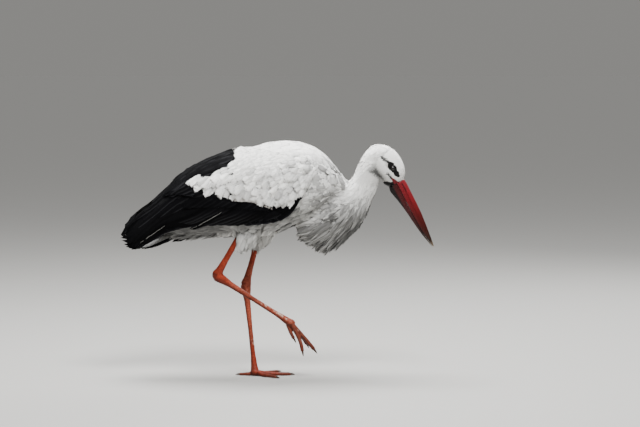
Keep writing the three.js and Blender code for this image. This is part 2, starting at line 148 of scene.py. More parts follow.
def apply(obj, kind, **settings):
    """Adds a modifier with its settings and applies it."""
    make_active(obj)
    modifier = obj.modifiers.new(kind.lower(), kind)
    for key, value in settings.items():
        setattr(modifier, key, value)
    bpy.ops.object.modifier_apply(modifier=modifier.name)


def in_scene(name, mesh):
    """An object of a mesh, linked into the scene."""
    obj = bpy.data.objects.new(name, mesh)
    bpy.context.collection.objects.link(obj)
    return obj


def object_of(name, shape):
    """Turns a working shape into an object with a mesh of its own."""
    mesh = bpy.data.meshes.new(name)
    shape.to_mesh(mesh)
    shape.free()
    return in_scene(name, mesh)


def shade_smooth(mesh):
    mesh.polygons.foreach_set("use_smooth", [True] * len(mesh.polygons))


def merged_copy(name, parts, grow=0.0, cuts=()):
    """One object of closed copies of CAD nodes, swollen by grow so that their thin gaps close."""
    shape = bmesh.new()
    for part in parts:
        shape.from_mesh(nodes[part].data)
    bmesh.ops.remove_doubles(shape, verts=shape.verts, dist=WELD)
    for place, away in cuts:
        everything = shape.verts[:] + shape.edges[:] + shape.faces[:]
        bmesh.ops.bisect_plane(shape, geom=everything, plane_co=place, plane_no=away, clear_outer=True)
        bmesh.ops.holes_fill(shape, edges=[edge for edge in shape.edges if edge.is_boundary])
    shape.normal_update()
    moved = [vertex.co + vertex.normal * grow for vertex in shape.verts]
    for vertex, place in zip(shape.verts, moved):
        vertex.co = place
    return object_of(name, shape)


def remeshed(obj, voxel, rounds):
    """Turns overlapping closed shapes into one even surface, then smooths it."""
    apply(obj, "REMESH", mode="VOXEL", voxel_size=voxel)
    apply(obj, "SMOOTH", factor=0.5, iterations=rounds)
    return obj


def positions(mesh):
    flat = np.empty(len(mesh.vertices) * 3)
    mesh.vertices.foreach_get("co", flat)
    return flat.reshape(-1, 3)


def vertex_normals(mesh):
    flat = np.empty(len(mesh.vertices) * 3)
    mesh.vertex_normals.foreach_get("vector", flat)
    return flat.reshape(-1, 3)


def move_vertices(mesh, places):
    mesh.vertices.foreach_set("co", places.astype(np.float32).ravel())
    mesh.update()


def join(name, objects):
    """Joins objects into the first, under a new name."""
    deselect()
    for obj in objects:
        obj.select_set(True)
    bpy.context.view_layer.objects.active = objects[0]
    bpy.ops.object.join()
    objects[0].name = name
    objects[0].data.name = name
    return objects[0]


def put_colours(mesh, name, colours):
    """A colour for each vertex, as an attribute that a material reads."""
    layer = mesh.attributes.new(name, "FLOAT_COLOR", "POINT")
    layer.data.foreach_set("color", colours.astype(np.float32).ravel())


def place_tree(places):
    """A tree that finds the places nearest to a point."""
    tree = KDTree(len(places))
    for i, place in enumerate(places.tolist()):
        tree.insert(place, i)
    tree.balance()
    return tree


class Shell:
    """A surface that feathers are laid on: its nearest points, smooth normals and face corners."""

    def __init__(self, obj):
        mesh = obj.data
        mesh.calc_loop_triangles()
        corners = np.empty(len(mesh.loop_triangles) * 3, dtype=np.int32)
        mesh.loop_triangles.foreach_get("vertices", corners)
        self.tris = corners.reshape(-1, 3)
        self.points = positions(mesh)
        self.normals = vertex_normals(mesh)
        self.tree = BVHTree.FromPolygons(self.points.tolist(), self.tris.tolist())

    def weights(self, places, faces):
        """How near each place is to the three corners of its triangle."""
        a, b, c = (self.points[self.tris[faces, k]] for k in range(3))
        whole = np.cross(b - a, c - a)
        size = np.maximum(np.sum(whole * whole, axis=1), 1e-20)
        wa = np.sum(np.cross(b - places, c - places) * whole, axis=1) / size
        wb = np.sum(np.cross(c - places, a - places) * whole, axis=1) / size
        share = np.clip(np.stack([wa, wb, 1 - wa - wb], axis=1), 0, 1)
        return share / share.sum(axis=1, keepdims=True)

    def normal_at(self, places, faces):
        share = self.weights(places, faces)[:, :, None]
        return unit((self.normals[self.tris[faces]] * share).sum(axis=1))

    def snap(self, places):
        """The nearest surface points, with their normals and faces."""
        hits = [self.tree.find_nearest(place) for place in places.tolist()]
        found = np.array([hit[0] for hit in hits])
        faces = np.array([hit[2] for hit in hits])
        return found, self.normal_at(found, faces), faces

    def distance(self, places):
        return np.array([self.tree.find_nearest(place)[3] for place in places.tolist()])

    def cast(self, places, way):
        """Where rays from places along way first meet the surface; the nearest point where they miss."""
        found = np.empty_like(places)
        faces = np.empty(len(places), dtype=np.int32)
        missed = np.zeros(len(places), dtype=bool)
        for i, place in enumerate(places.tolist()):
            hit = self.tree.ray_cast(place, way)
            if hit[0] is None:
                missed[i] = True
                hit = self.tree.find_nearest(place)
            found[i] = hit[0]
            faces[i] = hit[2]
        return found, self.normal_at(found, faces), missed


TRIES = 2.6  # how many places are drawn for each square as wide as the smallest spacing


def crowded(grid, cell, place, gap):
    """Whether a place kept earlier, in this cell of the grid or beside it, is too near."""
    cx, cy, cz = cell
    px, py, pz = place
    for dx in (-1, 0, 1):
        for dy in (-1, 0, 1):
            for dz in (-1, 0, 1):
                for qx, qy, qz in grid.get((cx + dx, cy + dy, cz + dz), ()):
                    if (qx - px) ** 2 + (qy - py) ** 2 + (qz - pz) ** 2 < gap:
                        return True
    return False


def scatter(shell, smallest, keep, seed, spacing_at=None):
    """Unruly roots on a shell where keep holds, smallest millimetres apart, or as far as spacing_at says.

    More places than needed are drawn at random, and each is kept if none kept before it is too near.
    """
    random = np.random.default_rng(seed)
    corners = shell.points[shell.tris]
    area = np.linalg.norm(np.cross(corners[:, 1] - corners[:, 0], corners[:, 2] - corners[:, 0]), axis=1) / 2
    centres = corners.mean(axis=1)
    wanted = np.flatnonzero(keep(centres))
    area = area[wanted]
    count = int(area.sum() / (smallest * MM) ** 2 * TRIES)
    chosen = wanted[random.choice(len(wanted), count, p=area / area.sum())]
    a, b = random.uniform(size=(2, count, 1))
    flip = a + b > 1
    a, b = np.where(flip, 1 - a, a), np.where(flip, 1 - b, b)
    spots = corners[chosen, 0] * (1 - a - b) + corners[chosen, 1] * a + corners[chosen, 2] * b
    spots = spots[keep(spots)]
    spacing = (spacing_at(spots) if spacing_at else np.full(len(spots), smallest)) * MM
    cell = spacing.max()
    grid = {}
    kept = []
    cells = np.floor(spots / cell).astype(int).tolist()
    for i, (mine, place, gap) in enumerate(zip(cells, spots.tolist(), (spacing**2).tolist())):
        if not crowded(grid, mine, place, gap):
            grid.setdefault(tuple(mine), []).append(place)
            kept.append(i)
    return spots[kept]


# ---------------------------------------------------------------- materials


def add(tree, kind, settings=None, links=None):
    """Adds a shader node, with its settings or socket values, and links into its sockets.

    A colour is a hex code, and stops are the (place, hex) marks of a colour ramp that eases between them.
    """
    made = tree.nodes.new("ShaderNode" + kind)
    for key, value in (settings or {}).items():
        if key == "stops":
            band = made.color_ramp
            band.interpolation = "EASE"
            while len(band.elements) > 1:
                band.elements.remove(band.elements[0])
            for i, (place, code) in enumerate(value):
                stop = band.elements[0] if i == 0 else band.elements.new(place)
                stop.position = place
                stop.color = linear(code)
        elif isinstance(key, str) and hasattr(made, key):
            setattr(made, key, value)
        else:
            made.inputs[key].default_value = linear(value) if isinstance(value, str) else value
    for key, source in (links or {}).items():
        tree.links.new(source, made.inputs[key])
    return made


def new_material(name, **surface):
    """A material of one Principled surface, with the constants set on its own sockets."""
    material = bpy.data.materials.new(name)
    material.use_nodes = True
    tree = material.node_tree
    shader = tree.nodes["Principled BSDF"]
    for key, value in surface.items():
        shader.inputs[key.replace("_", " ").title().replace("Ior", "IOR")].default_value = value
    return material, tree, shader


SHAFT_HALF_CM = 0.035
BARB_PITCH_CM = 0.07  # real barbs are about 0.4 mm apart, drawn coarser so that they show


def barbs(tree, vane):
    """Fine slanting ridges on both sides of a shaft, from the vane's own map in centimetres."""
    across = add(tree, "Math", {"operation": "ABSOLUTE"}, {0: vane.outputs["X"]})
    slant = add(tree, "Math", {"operation": "SUBTRACT"}, {0: vane.outputs["Y"], 1: across.outputs[0]})
    turns = add(tree, "Math", {"operation": "MULTIPLY", 1: math.tau / BARB_PITCH_CM}, {0: slant.outputs[0]})
    return add(tree, "Math", {"operation": "SINE"}, {0: turns.outputs[0]})


def plumage(name, stops, roughness, barb_height, edge, shaft, specular=0.3, sheen=0.0, patches=0.0):
    """Feather keratin: matt barbs that catch light along their edges, tinted tuft by tuft.

    The Look attribute holds each feather's tone, how far along it a place is, how far its edge is lightened,
    partly by wear and partly as a painted sheen, and how strongly its shaft shows.
    """
    material, tree, shader = new_material(
        name, roughness=roughness, specular_ior_level=specular, sheen_weight=sheen, sheen_roughness=0.5
    )
    vane_map = add(tree, "UVMap", {"uv_map": "Vane"})
    vane = add(tree, "SeparateXYZ", None, {"Vector": vane_map.outputs["UV"]})
    look = add(tree, "Attribute", {"attribute_name": "Look"})
    parts = add(tree, "SeparateColor", None, {"Color": look.outputs["Color"]})
    web = add(tree, "ValToRGB", {"stops": stops}, {"Fac": parts.outputs["Green"]})
    worn = add(tree, "MixRGB", {"Color2": edge}, {"Fac": parts.outputs["Blue"], "Color1": web.outputs["Color"]})
    across = add(tree, "Math", {"operation": "ABSOLUTE"}, {0: vane.outputs["X"]})
    near_shaft = add(tree, "Math", {"operation": "LESS_THAN", 1: SHAFT_HALF_CM}, {0: across.outputs[0]})
    share = add(tree, "Math", {"operation": "MULTIPLY"}, {0: near_shaft.outputs[0], 1: look.outputs["Alpha"]})
    vaned = add(tree, "MixRGB", {"Color2": shaft}, {"Fac": share.outputs[0], "Color1": worn.outputs["Color"]})
    place = add(tree, "TexCoord").outputs["Object"]
    cloud = add(tree, "TexNoise", {"Scale": 35.0, "Detail": 3.0}, {"Vector": place})
    patchy = {"operation": "MULTIPLY_ADD", 1: patches, 2: 1.0 - patches / 2}
    shade = add(tree, "Math", patchy, {0: cloud.outputs["Fac"]})
    tone = add(tree, "Math", {"operation": "MULTIPLY"}, {0: shade.outputs[0], 1: parts.outputs["Red"]})
    grey = add(tree, "CombineColor", None, dict.fromkeys(("Red", "Green", "Blue"), tone.outputs[0]))
    toned = add(
        tree,
        "MixRGB",
        {"blend_type": "MULTIPLY", "Fac": 1.0},
        {"Color1": vaned.outputs["Color"], "Color2": grey.outputs["Color"]},
    )
    tree.links.new(toned.outputs["Color"], shader.inputs["Base Color"])
    ridges = barbs(tree, vane)
    bump = add(tree, "Bump", {"Strength": 1.0, "Distance": barb_height}, {"Height": ridges.outputs[0]})
    tree.links.new(bump.outputs["Normal"], shader.inputs["Normal"])
    return material


# White contour feathers: chalky and soft, greyer towards their roots, partly the grey down and partly painted
# shade where the feathers overlap.
WHITE_PLUMAGE = plumage(
    "white_contour_feathers",
    [(0.0, DOWN_AND_SHADE_GREY), (0.30, SHADED_WHITE), (0.62, CHALK_WHITE)],
    roughness=0.75,
    barb_height=0.00004,
    edge=CHALK_WHITE,
    shaft=SHADED_WHITE,
    sheen=0.05,
    patches=0.10,
)
# Black flight feathers: smooth and dense, so they keep a low gloss along each vane; their lightened grey edges
# are partly wear and partly a painted sheen.
BLACK_PLUMAGE = plumage(
    "black_flight_feathers",
    [(0.0, SOOT_BLACK), (1.0, SOOT_BLACK)],
    roughness=0.5,
    barb_height=0.00006,
    edge=EDGE_WEAR_AND_SHEEN_GREY,
    shaft=QUILL_PALE,
    specular=0.03,
    patches=0.3,
)


def marked_surface(tree, shader, tone, strength, height, bump_distance):
    """The colours laid on a piece, toned down by a grain, and relief from a height."""
    marks = add(tree, "Attribute", {"attribute_name": "Markings"})
    colour = add(
        tree,
        "MixRGB",
        {"blend_type": "MULTIPLY", "Fac": strength},
        {"Color1": marks.outputs["Color"], "Color2": tone.outputs["Color"]},
    )
    tree.links.new(colour.outputs["Color"], shader.inputs["Base Color"])
    bump = add(tree, "Bump", {"Strength": 0.5, "Distance": bump_distance}, {"Height": height})
    tree.links.new(bump.outputs["Normal"], shader.inputs["Normal"])


def skin_material():
    """Bird skin: leathery scales on the legs and face, coloured by the skin's own markings."""
    material, tree, shader = new_material("bird_skin_and_leg_scales", roughness=0.45, specular_ior_level=0.16)
    place = add(tree, "TexCoord").outputs["Object"]
    mottle = add(tree, "TexNoise", {"Scale": 160.0, "Detail": 4.0}, {"Vector": place})
    stops = [(0.3, SKIN_MOTTLE), (0.7, FULL_WHITE)]
    tone = add(tree, "ValToRGB", {"stops": stops}, {"Fac": mottle.outputs["Fac"]})
    grain = add(tree, "TexVoronoi", {"Scale": 700.0}, {"Vector": place})
    marked_surface(tree, shader, tone, 0.75, grain.outputs["Distance"], 0.20 * MM)
    return material


SKIN = skin_material()


def horn_material(name, roughness, coat):
    """Horn of the bill and claws: waxy, with long growth lines, coloured by the markings laid on it."""
    material, tree, shader = new_material(
        name, roughness=roughness, coat_weight=coat, coat_roughness=0.15, specular_ior_level=0.16
    )
    lines_map = add(tree, "UVMap", {"uv_map": "Lines"})
    drawn_out = add(tree, "Mapping", {"Scale": (60.0, 2.5, 1.0)}, {"Vector": lines_map.outputs["UV"]})
    grain = {"Scale": 1.0, "Detail": 3.0, "Roughness": 0.6}
    lines = add(tree, "TexNoise", grain, {"Vector": drawn_out.outputs["Vector"]})
    stops = [(0.25, HORN_LINES), (0.7, FULL_WHITE)]
    tone = add(tree, "ValToRGB", {"stops": stops}, {"Fac": lines.outputs["Fac"]})
    marked_surface(tree, shader, tone, 0.7, lines.outputs["Fac"], 0.25 * MM)
    return material


BILL_HORN = horn_material("red_bill_horn", 0.36, 0.12)
CLAW_HORN = horn_material("dark_claw_horn", 0.42, 0.1)


def eye_material():
    """A wet cornea over a dark brown iris, which looks black a step away."""
    material, tree, shader = new_material(
        "wet_eye", roughness=0.06, specular_ior_level=0.35, coat_weight=0.35, coat_roughness=0.02
    )
    iris = add(tree, "Attribute", {"attribute_name": "Markings"})
    tree.links.new(iris.outputs["Color"], shader.inputs["Base Color"])
    return material


EYE = eye_material()


# ---------------------------------------------------------------- camera, room and light

AIM = Vector((0.1495, 0.0, 0.376))
CAMERA_DISTANCE = 5.52
CAMERA_PITCH = math.radians(4.6)


def set_camera():
    camera = bpy.data.cameras.new("camera")
    camera.lens = 135.0
    camera.sensor_width = 36.0
    camera.clip_end = 100.0
    holder = bpy.data.objects.new("camera", camera)
    back = Vector((0, -math.cos(CAMERA_PITCH), math.sin(CAMERA_PITCH)))
    holder.location = AIM + back * CAMERA_DISTANCE
    holder.rotation_euler = (math.pi / 2 - CAMERA_PITCH, 0, 0)
    bpy.context.collection.objects.link(holder)
    bpy.context.scene.camera = holder


def soft_light(name, place, power, size):
    """A round area light that faces the bird."""
    lamp = bpy.data.lights.new(name, "AREA")
    lamp.shape = "DISK"
    lamp.size = size
    lamp.energy = power
    lamp.color = linear(ROOM_WHITE)[:3]
    holder = bpy.data.objects.new(name, lamp)
    holder.location = place
    holder.rotation_euler = (AIM - Vector(place)).to_track_quat("-Z", "Y").to_euler()
    bpy.context.collection.objects.link(holder)


def set_room():
    """A soft dome, bright above and dimmer towards the ground, that the floor fades into."""
    world = bpy.data.worlds.new("pale_room")
    bpy.context.scene.world = world
    world.use_nodes = True
    tree = world.node_tree
    way = add(tree, "SeparateXYZ", None, {"Vector": add(tree, "TexCoord").outputs["Generated"]})
    stops = [(0.08, HORIZON_GREY), (0.85, ROOM_WHITE)]
    dome = add(tree, "ValToRGB", {"stops": stops}, {"Fac": way.outputs["Z"]})
    around = tree.nodes["Background"]
    tree.links.new(dome.outputs["Color"], around.inputs["Color"])
    around.inputs["Strength"].default_value = 0.80
    soft_light("key", (0.5, -1.6, 2.6), 140, 1.0)
    soft_light("overhead", (-0.2, 0.4, 2.6), 140, 1.2)
    soft_light("back_rim", (1.4, 1.8, 1.6), 34, 1.0)
    deselect()
    bpy.ops.mesh.primitive_plane_add(size=60.0, location=(0, 0, 0))
    floor = bpy.context.object
    floor.name = "floor"
    bpy.ops.object.transform_apply(location=True)
    paper, _, _ = new_material("matt_studio_paper", roughness=0.9, base_color=linear(FLOOR_GREY))
    floor.data.materials.append(paper)


set_camera()
set_room()

# ---------------------------------------------------------------- where things are on the head

BILL_PITCH = math.radians(59.6)
BILL_LINE = np.array([math.cos(BILL_PITCH), 0, -math.sin(BILL_PITCH)])
BROW_LINE = np.array([-BILL_LINE[2], 0, BILL_LINE[0]])
BILL_BASE = np.array([323.5, 0, 448.5]) * MM
EYE_BACK, EYE_UP, EYE_OUT = 32.5, 10.0, 20.5
EYE_RADIUS = 6.6
THROAT_FRONT = 0.285  # the bare chin lies ahead of this x, the neck's feathers behind it
HEAD_LOW = 437.0  # the face's short feathers end at this z, the neck's begin


def head_place(points):
    """Millimetres back along the head from the bill, up from its axis, and out from the middle."""
    offset = (points - BILL_BASE) / MM
    return -offset @ BILL_LINE, offset @ BROW_LINE, np.abs(points[:, 1]) / MM


def head_point(back, up, out):
    """The place that lies so many millimetres back, up and out."""
    return BILL_BASE + MM * (-BILL_LINE * back + BROW_LINE * up + np.array([0, out, 0]))


def gape_line(back):
    """How high the corner of the mouth runs at a distance back from the bill."""
    return -0.8 - back * 0.19


def jaw_line(back):
    """How high the band of painted shade runs where the cheek's feathers end over the lower jaw."""
    return -22.0 - (back - 21) * 0.32


def streak(points):
    """Thin dark lines on the feathers, back from the eye and back from the gape, and painted shade along the
    jaw's fold.
    """
    back, up, out = head_place(points)
    half = 3.1 - 1.6 * smooth(50, 68, back)
    behind_eye = 1 - smooth(0.6, 1.2, np.abs(up - 7.7 + (back - 49.4) * 0.28) / half)
    behind_eye = behind_eye * smooth(44, 48, back) * (1 - 0.9 * smooth(60, 80, back))
    behind_gape = 1 - smooth(1.9, 3.0, np.abs(up - gape_line(back)))
    behind_gape = behind_gape * smooth(10, 13, back) * smooth(29, 25, back)
    # painted shade: a soft dark band in the fold along the jaw
    jaw = np.exp(-(((up - jaw_line(back)) / 4.8) ** 2)) * smooth(14, 28, back) * smooth(66, 46, back)
    return np.maximum.reduce([behind_eye, behind_gape, 0.93 * jaw]) * smooth(5, 9, out)


def mask(points):
    """How bare and black the face is: round the eye, forward to the bill, at the gape and the chin."""
    back, up, out = head_place(points)
    ragged = 0.05 * waviness(points, 4 * MM, 9)
    round_eye = 1 - smooth(0.90, 1.06, np.hypot((back - 34.8) / 14.2, (up - 10.8) / 9.2) + ragged)
    lore = 1 - smooth(0.88, 1.08, np.hypot((back - 19) / 12.0, (up - 11.6) / 6.2) + ragged)
    gape_half = 1.0 + 4.6 * smooth(15, 0, back)
    gape = (1 - smooth(0.8, 1.1, np.abs(up - gape_line(back)) / gape_half)) * (1 - smooth(23, 26, back))
    chin = (1 - smooth(-1.2, 1.2, up + 1.47 * back - 1.7)) * (1 - smooth(13, 16, back))
    chin = chin * (points[:, 0] > THROAT_FRONT)
    bare = np.maximum.reduce([round_eye, lore, gape, chin])
    return bare * smooth(-8, -4, back) * smooth(3, 6, out + chin * 20) * (points[:, 2] > 0.43)


# ---------------------------------------------------------------- shells and skin

FLESH = ["trunk", "neck", "head", "thigh_right", "thigh_left"]
FACE_PARTS = ["head", "trunk", "neck", "bill_upper", "bill_lower"]
WINGS = {side: [f"wing_{side}_coverts", f"wing_{side}_flight"] for side in SIDES}
LEG_PARTS = [f"{part}_{side}" for side in SIDES for part in ("shank", "tarsus")]
LEG_PARTS += [f"toe_{toe}_{side}" for side in SIDES for toe in TOES]

GAP_CLOSER = 0.45 * MM
# Where the head's skin, the face's shell and the wings' skin are cut off: a place and the way cut away
HEAD_CUTS = [((0.245, 0, 0), (-1, 0, 0)), ((0, 0, 0.434), (0, 0, -1))]
FACE_CUTS = [((0.215, 0, 0), (-1, 0, 0)), ((0, 0, 0.395), (0, 0, -1))]
WING_CUTS = [((-0.225, 0, 0), (-1, 0, 0))]


working_shells = []


def outer(name, parts, voxel, rounds, cuts=()):
    """A smooth shell of CAD nodes that feathers are laid on, removed at the end."""
    shell = merged_copy(name, parts, GAP_CLOSER, cuts)
    working_shells.append(shell)
    return Shell(remeshed(shell, voxel * MM, rounds))


def plain_shell(name, part):
    """A shell of one CAD node as it is, to measure distances to."""
    shell = merged_copy(name, [part])
    working_shells.append(shell)
    return Shell(shell)


BODY = outer("body_outer", FLESH, 3.0, 6)
WING = {side: outer(f"wing_outer_{side}", WINGS[side], 2.2, 4) for side in SIDES}
WHOLE = outer("whole_outer", FLESH + WINGS["right"] + WINGS["left"], 3.0, 6)
FACE = outer("face_outer", FACE_PARTS, 1.6, 4, FACE_CUTS)
COVERTS = {side: plain_shell(f"coverts_{side}", f"wing_{side}_coverts") for side in SIDES}
FLIGHTS = {side: plain_shell(f"flights_{side}", f"wing_{side}_flight") for side in SIDES}

OUTLINE_STEP = 3.0


def wing_outline(side):
    """The wing's top and lower edge along x, read from its shell."""
    points = WING[side].points / MM
    xs = np.arange(math.ceil(points[:, 0].min()), points[:, 0].max(), OUTLINE_STEP)
    tops, lows = [], []
    for x in xs:
        near = points[np.abs(points[:, 0] - x) < OUTLINE_STEP]
        tops.append(near[:, 2].max())
        lows.append(near[:, 2].min())
    return xs, np.array(tops), np.array(lows)


OUTLINE = {side: wing_outline(side) for side in SIDES}
WING_TIP = {side: OUTLINE[side][0][0] for side in SIDES}
TIP_BEND = -140.0  # ahead of this x the two wings are alike; behind it the left one is shorter


def wing_x(side, x):
    """x on this wing for a place given on the right wing."""
    x = np.asarray(x, float)
    share = (WING_TIP[side] - TIP_BEND) / (WING_TIP["right"] - TIP_BEND)
    return np.where(x < TIP_BEND, TIP_BEND + (x - TIP_BEND) * share, x)


def wing_z(side, x, height):
    """z at a height on the wing, 0 on its lower edge and 1 on its top edge."""
    xs, tops, lows = OUTLINE[side]
    top, low = np.interp(x, xs, tops), np.interp(x, xs, lows)
    return low + (top - low) * height


def dark_edge(side, points):
    """The narrow black rim that runs forward along the folded wing's lower edge, under the white coverts;
    partly black feathers and partly painted shade cast by the coverts.
    """
    x, z = points[:, 0] / MM, points[:, 2] / MM
    height = z - wing_z(side, x, 0.0)
    return smooth(11, 8, height - 3 * smooth(90, 40, x)) * smooth(30, 45, x) * smooth(142, 132, x)


# How deep the skin lies under the tips of the coat; the body's skin lies deeper where the head's own covers it
TRUNK_COAT = 5.0
NECK_COAT = 4.5
HEAD_COAT = 1.0
UNDER_HEAD = 7.5
LEAST_COAT = 0.9
WING_COAT = 3.2


def sink_body(points, normals, head_depth):
    """The skin under the body's feathers: the coat is deep on the trunk and thin on the head."""
    back, _, _ = head_place(points)
    on_head = smooth(98, 74, back) * smooth(0.437, 0.452, points[:, 2])
    on_neck = smooth(0.185, 0.225, points[:, 0]) * smooth(0.33, 0.36, points[:, 2])
    depth = TRUNK_COAT + (NECK_COAT - TRUNK_COAT) * on_neck
    depth += (head_depth - depth) * on_head
    depth *= 1 - 0.9 * mask(points)
    return points - normals * (depth * MM)[:, None]


def body_skin():
    """The skin of trunk, neck and thighs; under the face it lies inside the head's finer skin."""
    skin = merged_copy("body_skin", FLESH, GAP_CLOSER)
    remeshed(skin, 3.4 * MM, 5)
    mesh = skin.data
    move_vertices(mesh, sink_body(positions(mesh), vertex_normals(mesh), UNDER_HEAD))
    return remeshed(skin, 4.8 * MM, 3)


def head_skin():
    """The finer skin of the head, with its orbit, brow, gape and the bare pouch of the chin."""
    skin = merged_copy("head_skin", ["head", "trunk", "neck"], GAP_CLOSER, HEAD_CUTS)
    remeshed(skin, 1.3 * MM, 4)
    mesh = skin.data
    normals = vertex_normals(mesh)
    points = positions(mesh)
    cut_end = np.maximum(smooth(447, HEAD_LOW, points[:, 2] / MM), smooth(256, 247, points[:, 0] / MM))
    points = sink_body(points, normals, HEAD_COAT) - normals * (cut_end * TRUNK_COAT * MM)[:, None]
    back, up, out = head_place(points)
    from_eye = np.hypot(back - EYE_BACK, up - EYE_UP)
    orbit = 0.9 * np.exp(-(((from_eye - 10.0) / 3.0) ** 2)) * (out > 10)
    brow = 0.7 * np.exp(-(((up - EYE_UP - 8.5) / 2.2) ** 2)) * (out > 8)
    brow = brow * np.exp(-(((back - EYE_BACK + 2) / 11.0) ** 2))
    gape = 0.9 * np.exp(-(((up - gape_line(back)) / 0.9) ** 2)) * (1 - smooth(21, 25, back)) * (out > 5)
    chin = smooth(-8, -13, up) * smooth(17, 7, back) * smooth(-10, -5, back) * (points[:, 0] > THROAT_FRONT)
    full = chin * (3.6 + 2.6 * smooth(9, 1, back))
    points = points - normals * ((orbit - brow + gape - full) * MM)[:, None]
    above, up_normals, _ = FACE.snap(points)
    depth = np.sum((above - points) * up_normals, axis=1)
    shy = np.maximum(0, LEAST_COAT * MM - depth) * (1 - smooth(0.05, 0.4, mask(points)))
    move_vertices(mesh, points - up_normals * shy[:, None])
    return skin


def wing_skin(side):
    """The skin inside a folded wing, which ends where only long feathers reach on."""
    skin = merged_copy(f"wing_skin_{side}", WINGS[side], GAP_CLOSER, WING_CUTS)
    remeshed(skin, 3.0 * MM, 3)
    mesh = skin.data
    move_vertices(mesh, positions(mesh) - vertex_normals(mesh) * WING_COAT * MM)
    return remeshed(skin, 4.4 * MM, 2)


SCALE_SIZE = 3.6
SCUTE_STEP = 3.0
SCUTE_REACH = 8.5  # scales keep this far off a toe's middle line
SCALE_RELIEF = 0.30
LEG_SLIMMER = 0.9


def toe_line(name):
    """Points down the middle of a toe, a scute's step apart."""
    points = positions(nodes[name].data)
    middle = points.mean(axis=0)
    way = np.linalg.svd(points - middle, full_matrices=False)[2][0]
    reach = (points - middle) @ way
    steps = np.arange(reach.min(), reach.max(), SCUTE_STEP * MM)
    return middle + steps[:, None] * way


def everywhere(points):
    return np.ones(len(points), dtype=bool)


def leg_skin():
    """Bare legs in small close scales, with cross scutes down the toes."""
    skin = merged_copy("leg_skin", LEG_PARTS, 0.3 * MM)
    remeshed(skin, 1.2 * MM, 4)
    mesh = skin.data
    points, normals = positions(mesh), vertex_normals(mesh)
    lines = np.concatenate([toe_line(f"toe_{toe}_{side}") for side in SIDES for toe in TOES])
    spots = scatter(Shell(skin), SCALE_SIZE, everywhere, 61)
    line_tree = place_tree(lines)
    off_toes = np.array([line_tree.find(place)[2] > SCUTE_REACH * MM for place in spots.tolist()])
    tree = place_tree(np.concatenate([spots[off_toes], lines]))
    near = [tree.find_n(place, 2) for place in points.tolist()]
    first = np.array([hit[0][2] for hit in near]) / MM
    second = np.array([hit[1][2] for hit in near]) / MM
    on_toe = np.array([hit[0][1] >= off_toes.sum() for hit in near])
    raised = smooth(0, np.where(on_toe, 0.45, 1.1), second - first)
    off_line = np.array([line_tree.find(place)[2] for place in points.tolist()]) / MM
    slimmer = LEG_SLIMMER * smooth(9, 20, off_line)
    move_vertices(mesh, points + normals * (((raised - 0.6) * SCALE_RELIEF - slimmer) * MM)[:, None])
    scales = mesh.attributes.new("Raised", "FLOAT", "POINT")
    scales.data.foreach_set("value", (1 + raised).astype(np.float32))
    return skin


skin = join("skin", [body_skin(), head_skin(), *[wing_skin(side) for side in SIDES], leg_skin()])


def laid(colours, code, share):
    """The colours with another laid over them by its share at each vertex."""
    return colours * (1 - share[:, None]) + np.array(linear(code)) * share[:, None]


def painted_legs(colours, points, ups, raised, on_leg):
    """Red shanks and salmon tarsi, deeper between scales, darker behind and below as painted shade, chalky on
    top partly as a painted highlight, dusky at the toes.
    """
    x, _, z = points.T / MM
    colours = laid(colours, LEG_RED, on_leg)
    on_tarsus = smooth(258, 236, z) * smooth(-70, -40, x) + smooth(-40, 30, x) * smooth(262, 250, z)
    colours = laid(colours, TARSUS_SALMON, np.clip(on_tarsus, 0, 1) * on_leg * smooth(60, 95, z) * 0.85)
    colours = laid(colours, LEG_DEEP, smooth(-0.2, 0.9, waviness(points, 26 * MM, 5)) * on_leg * 0.4)
    # painted shade: deeper on the faces that turn down and back
    colours = laid(colours, LEG_DEEP, smooth(0.35, -0.6, 0.9 * ups[:, 2] + 0.8 * ups[:, 0]) * on_leg * 0.8)
    # chalk, kept to the faces turned up and forward, so partly a painted highlight
    chalk = smooth(0.30, 0.7, waviness(points, 13 * MM, 3) * 0.7 + 0.5 * waviness(points, 3.5 * MM, 4))
    chalk = chalk * smooth(-0.1, 0.6, ups[:, 2] + 0.6 * ups[:, 0])
    colours = laid(colours, LEG_CHALK, chalk * smooth(215, 180, z) * smooth(40, 90, z) * 0.8 * on_leg)
    toe_tips = np.zeros(len(points))
    for side in SIDES:
        for toe in TOES:
            claw = np.array([(a + b) / 2 for a, b in zip(*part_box(f"claw_{toe}_{side}"))])
            far = np.linalg.norm(points - claw, axis=1) / MM
            toe_tips = np.maximum(toe_tips, smooth(64, 14, far))
    colours = laid(colours, TOE_DUSK, toe_tips * 0.75)
    return laid(colours, LEG_DEEP, (1 - raised) * on_leg * 0.7)


def under_black(points):
    """How surely a place on the skin lies under black feathers: behind the mantle and in the wings."""
    x, y, z = points.T / MM
    black = ((x < -46) & (z > 405)).astype(float)
    for side, out in SIDES.items():
        near = np.flatnonzero((y * out > 8) & (z > 290) & (x < 160))
        black_far = COVERTS[side].distance(points[near]) - FLIGHTS[side].distance(points[near])
        on_wing = smooth(12 * MM, 7 * MM, WING[side].distance(points[near]))
        black[near] = np.maximum(black[near], smooth(0, 2 * MM, black_far) * on_wing)
        black[near] = np.maximum(black[near], dark_edge(side, points[near]) * on_wing)
    return black


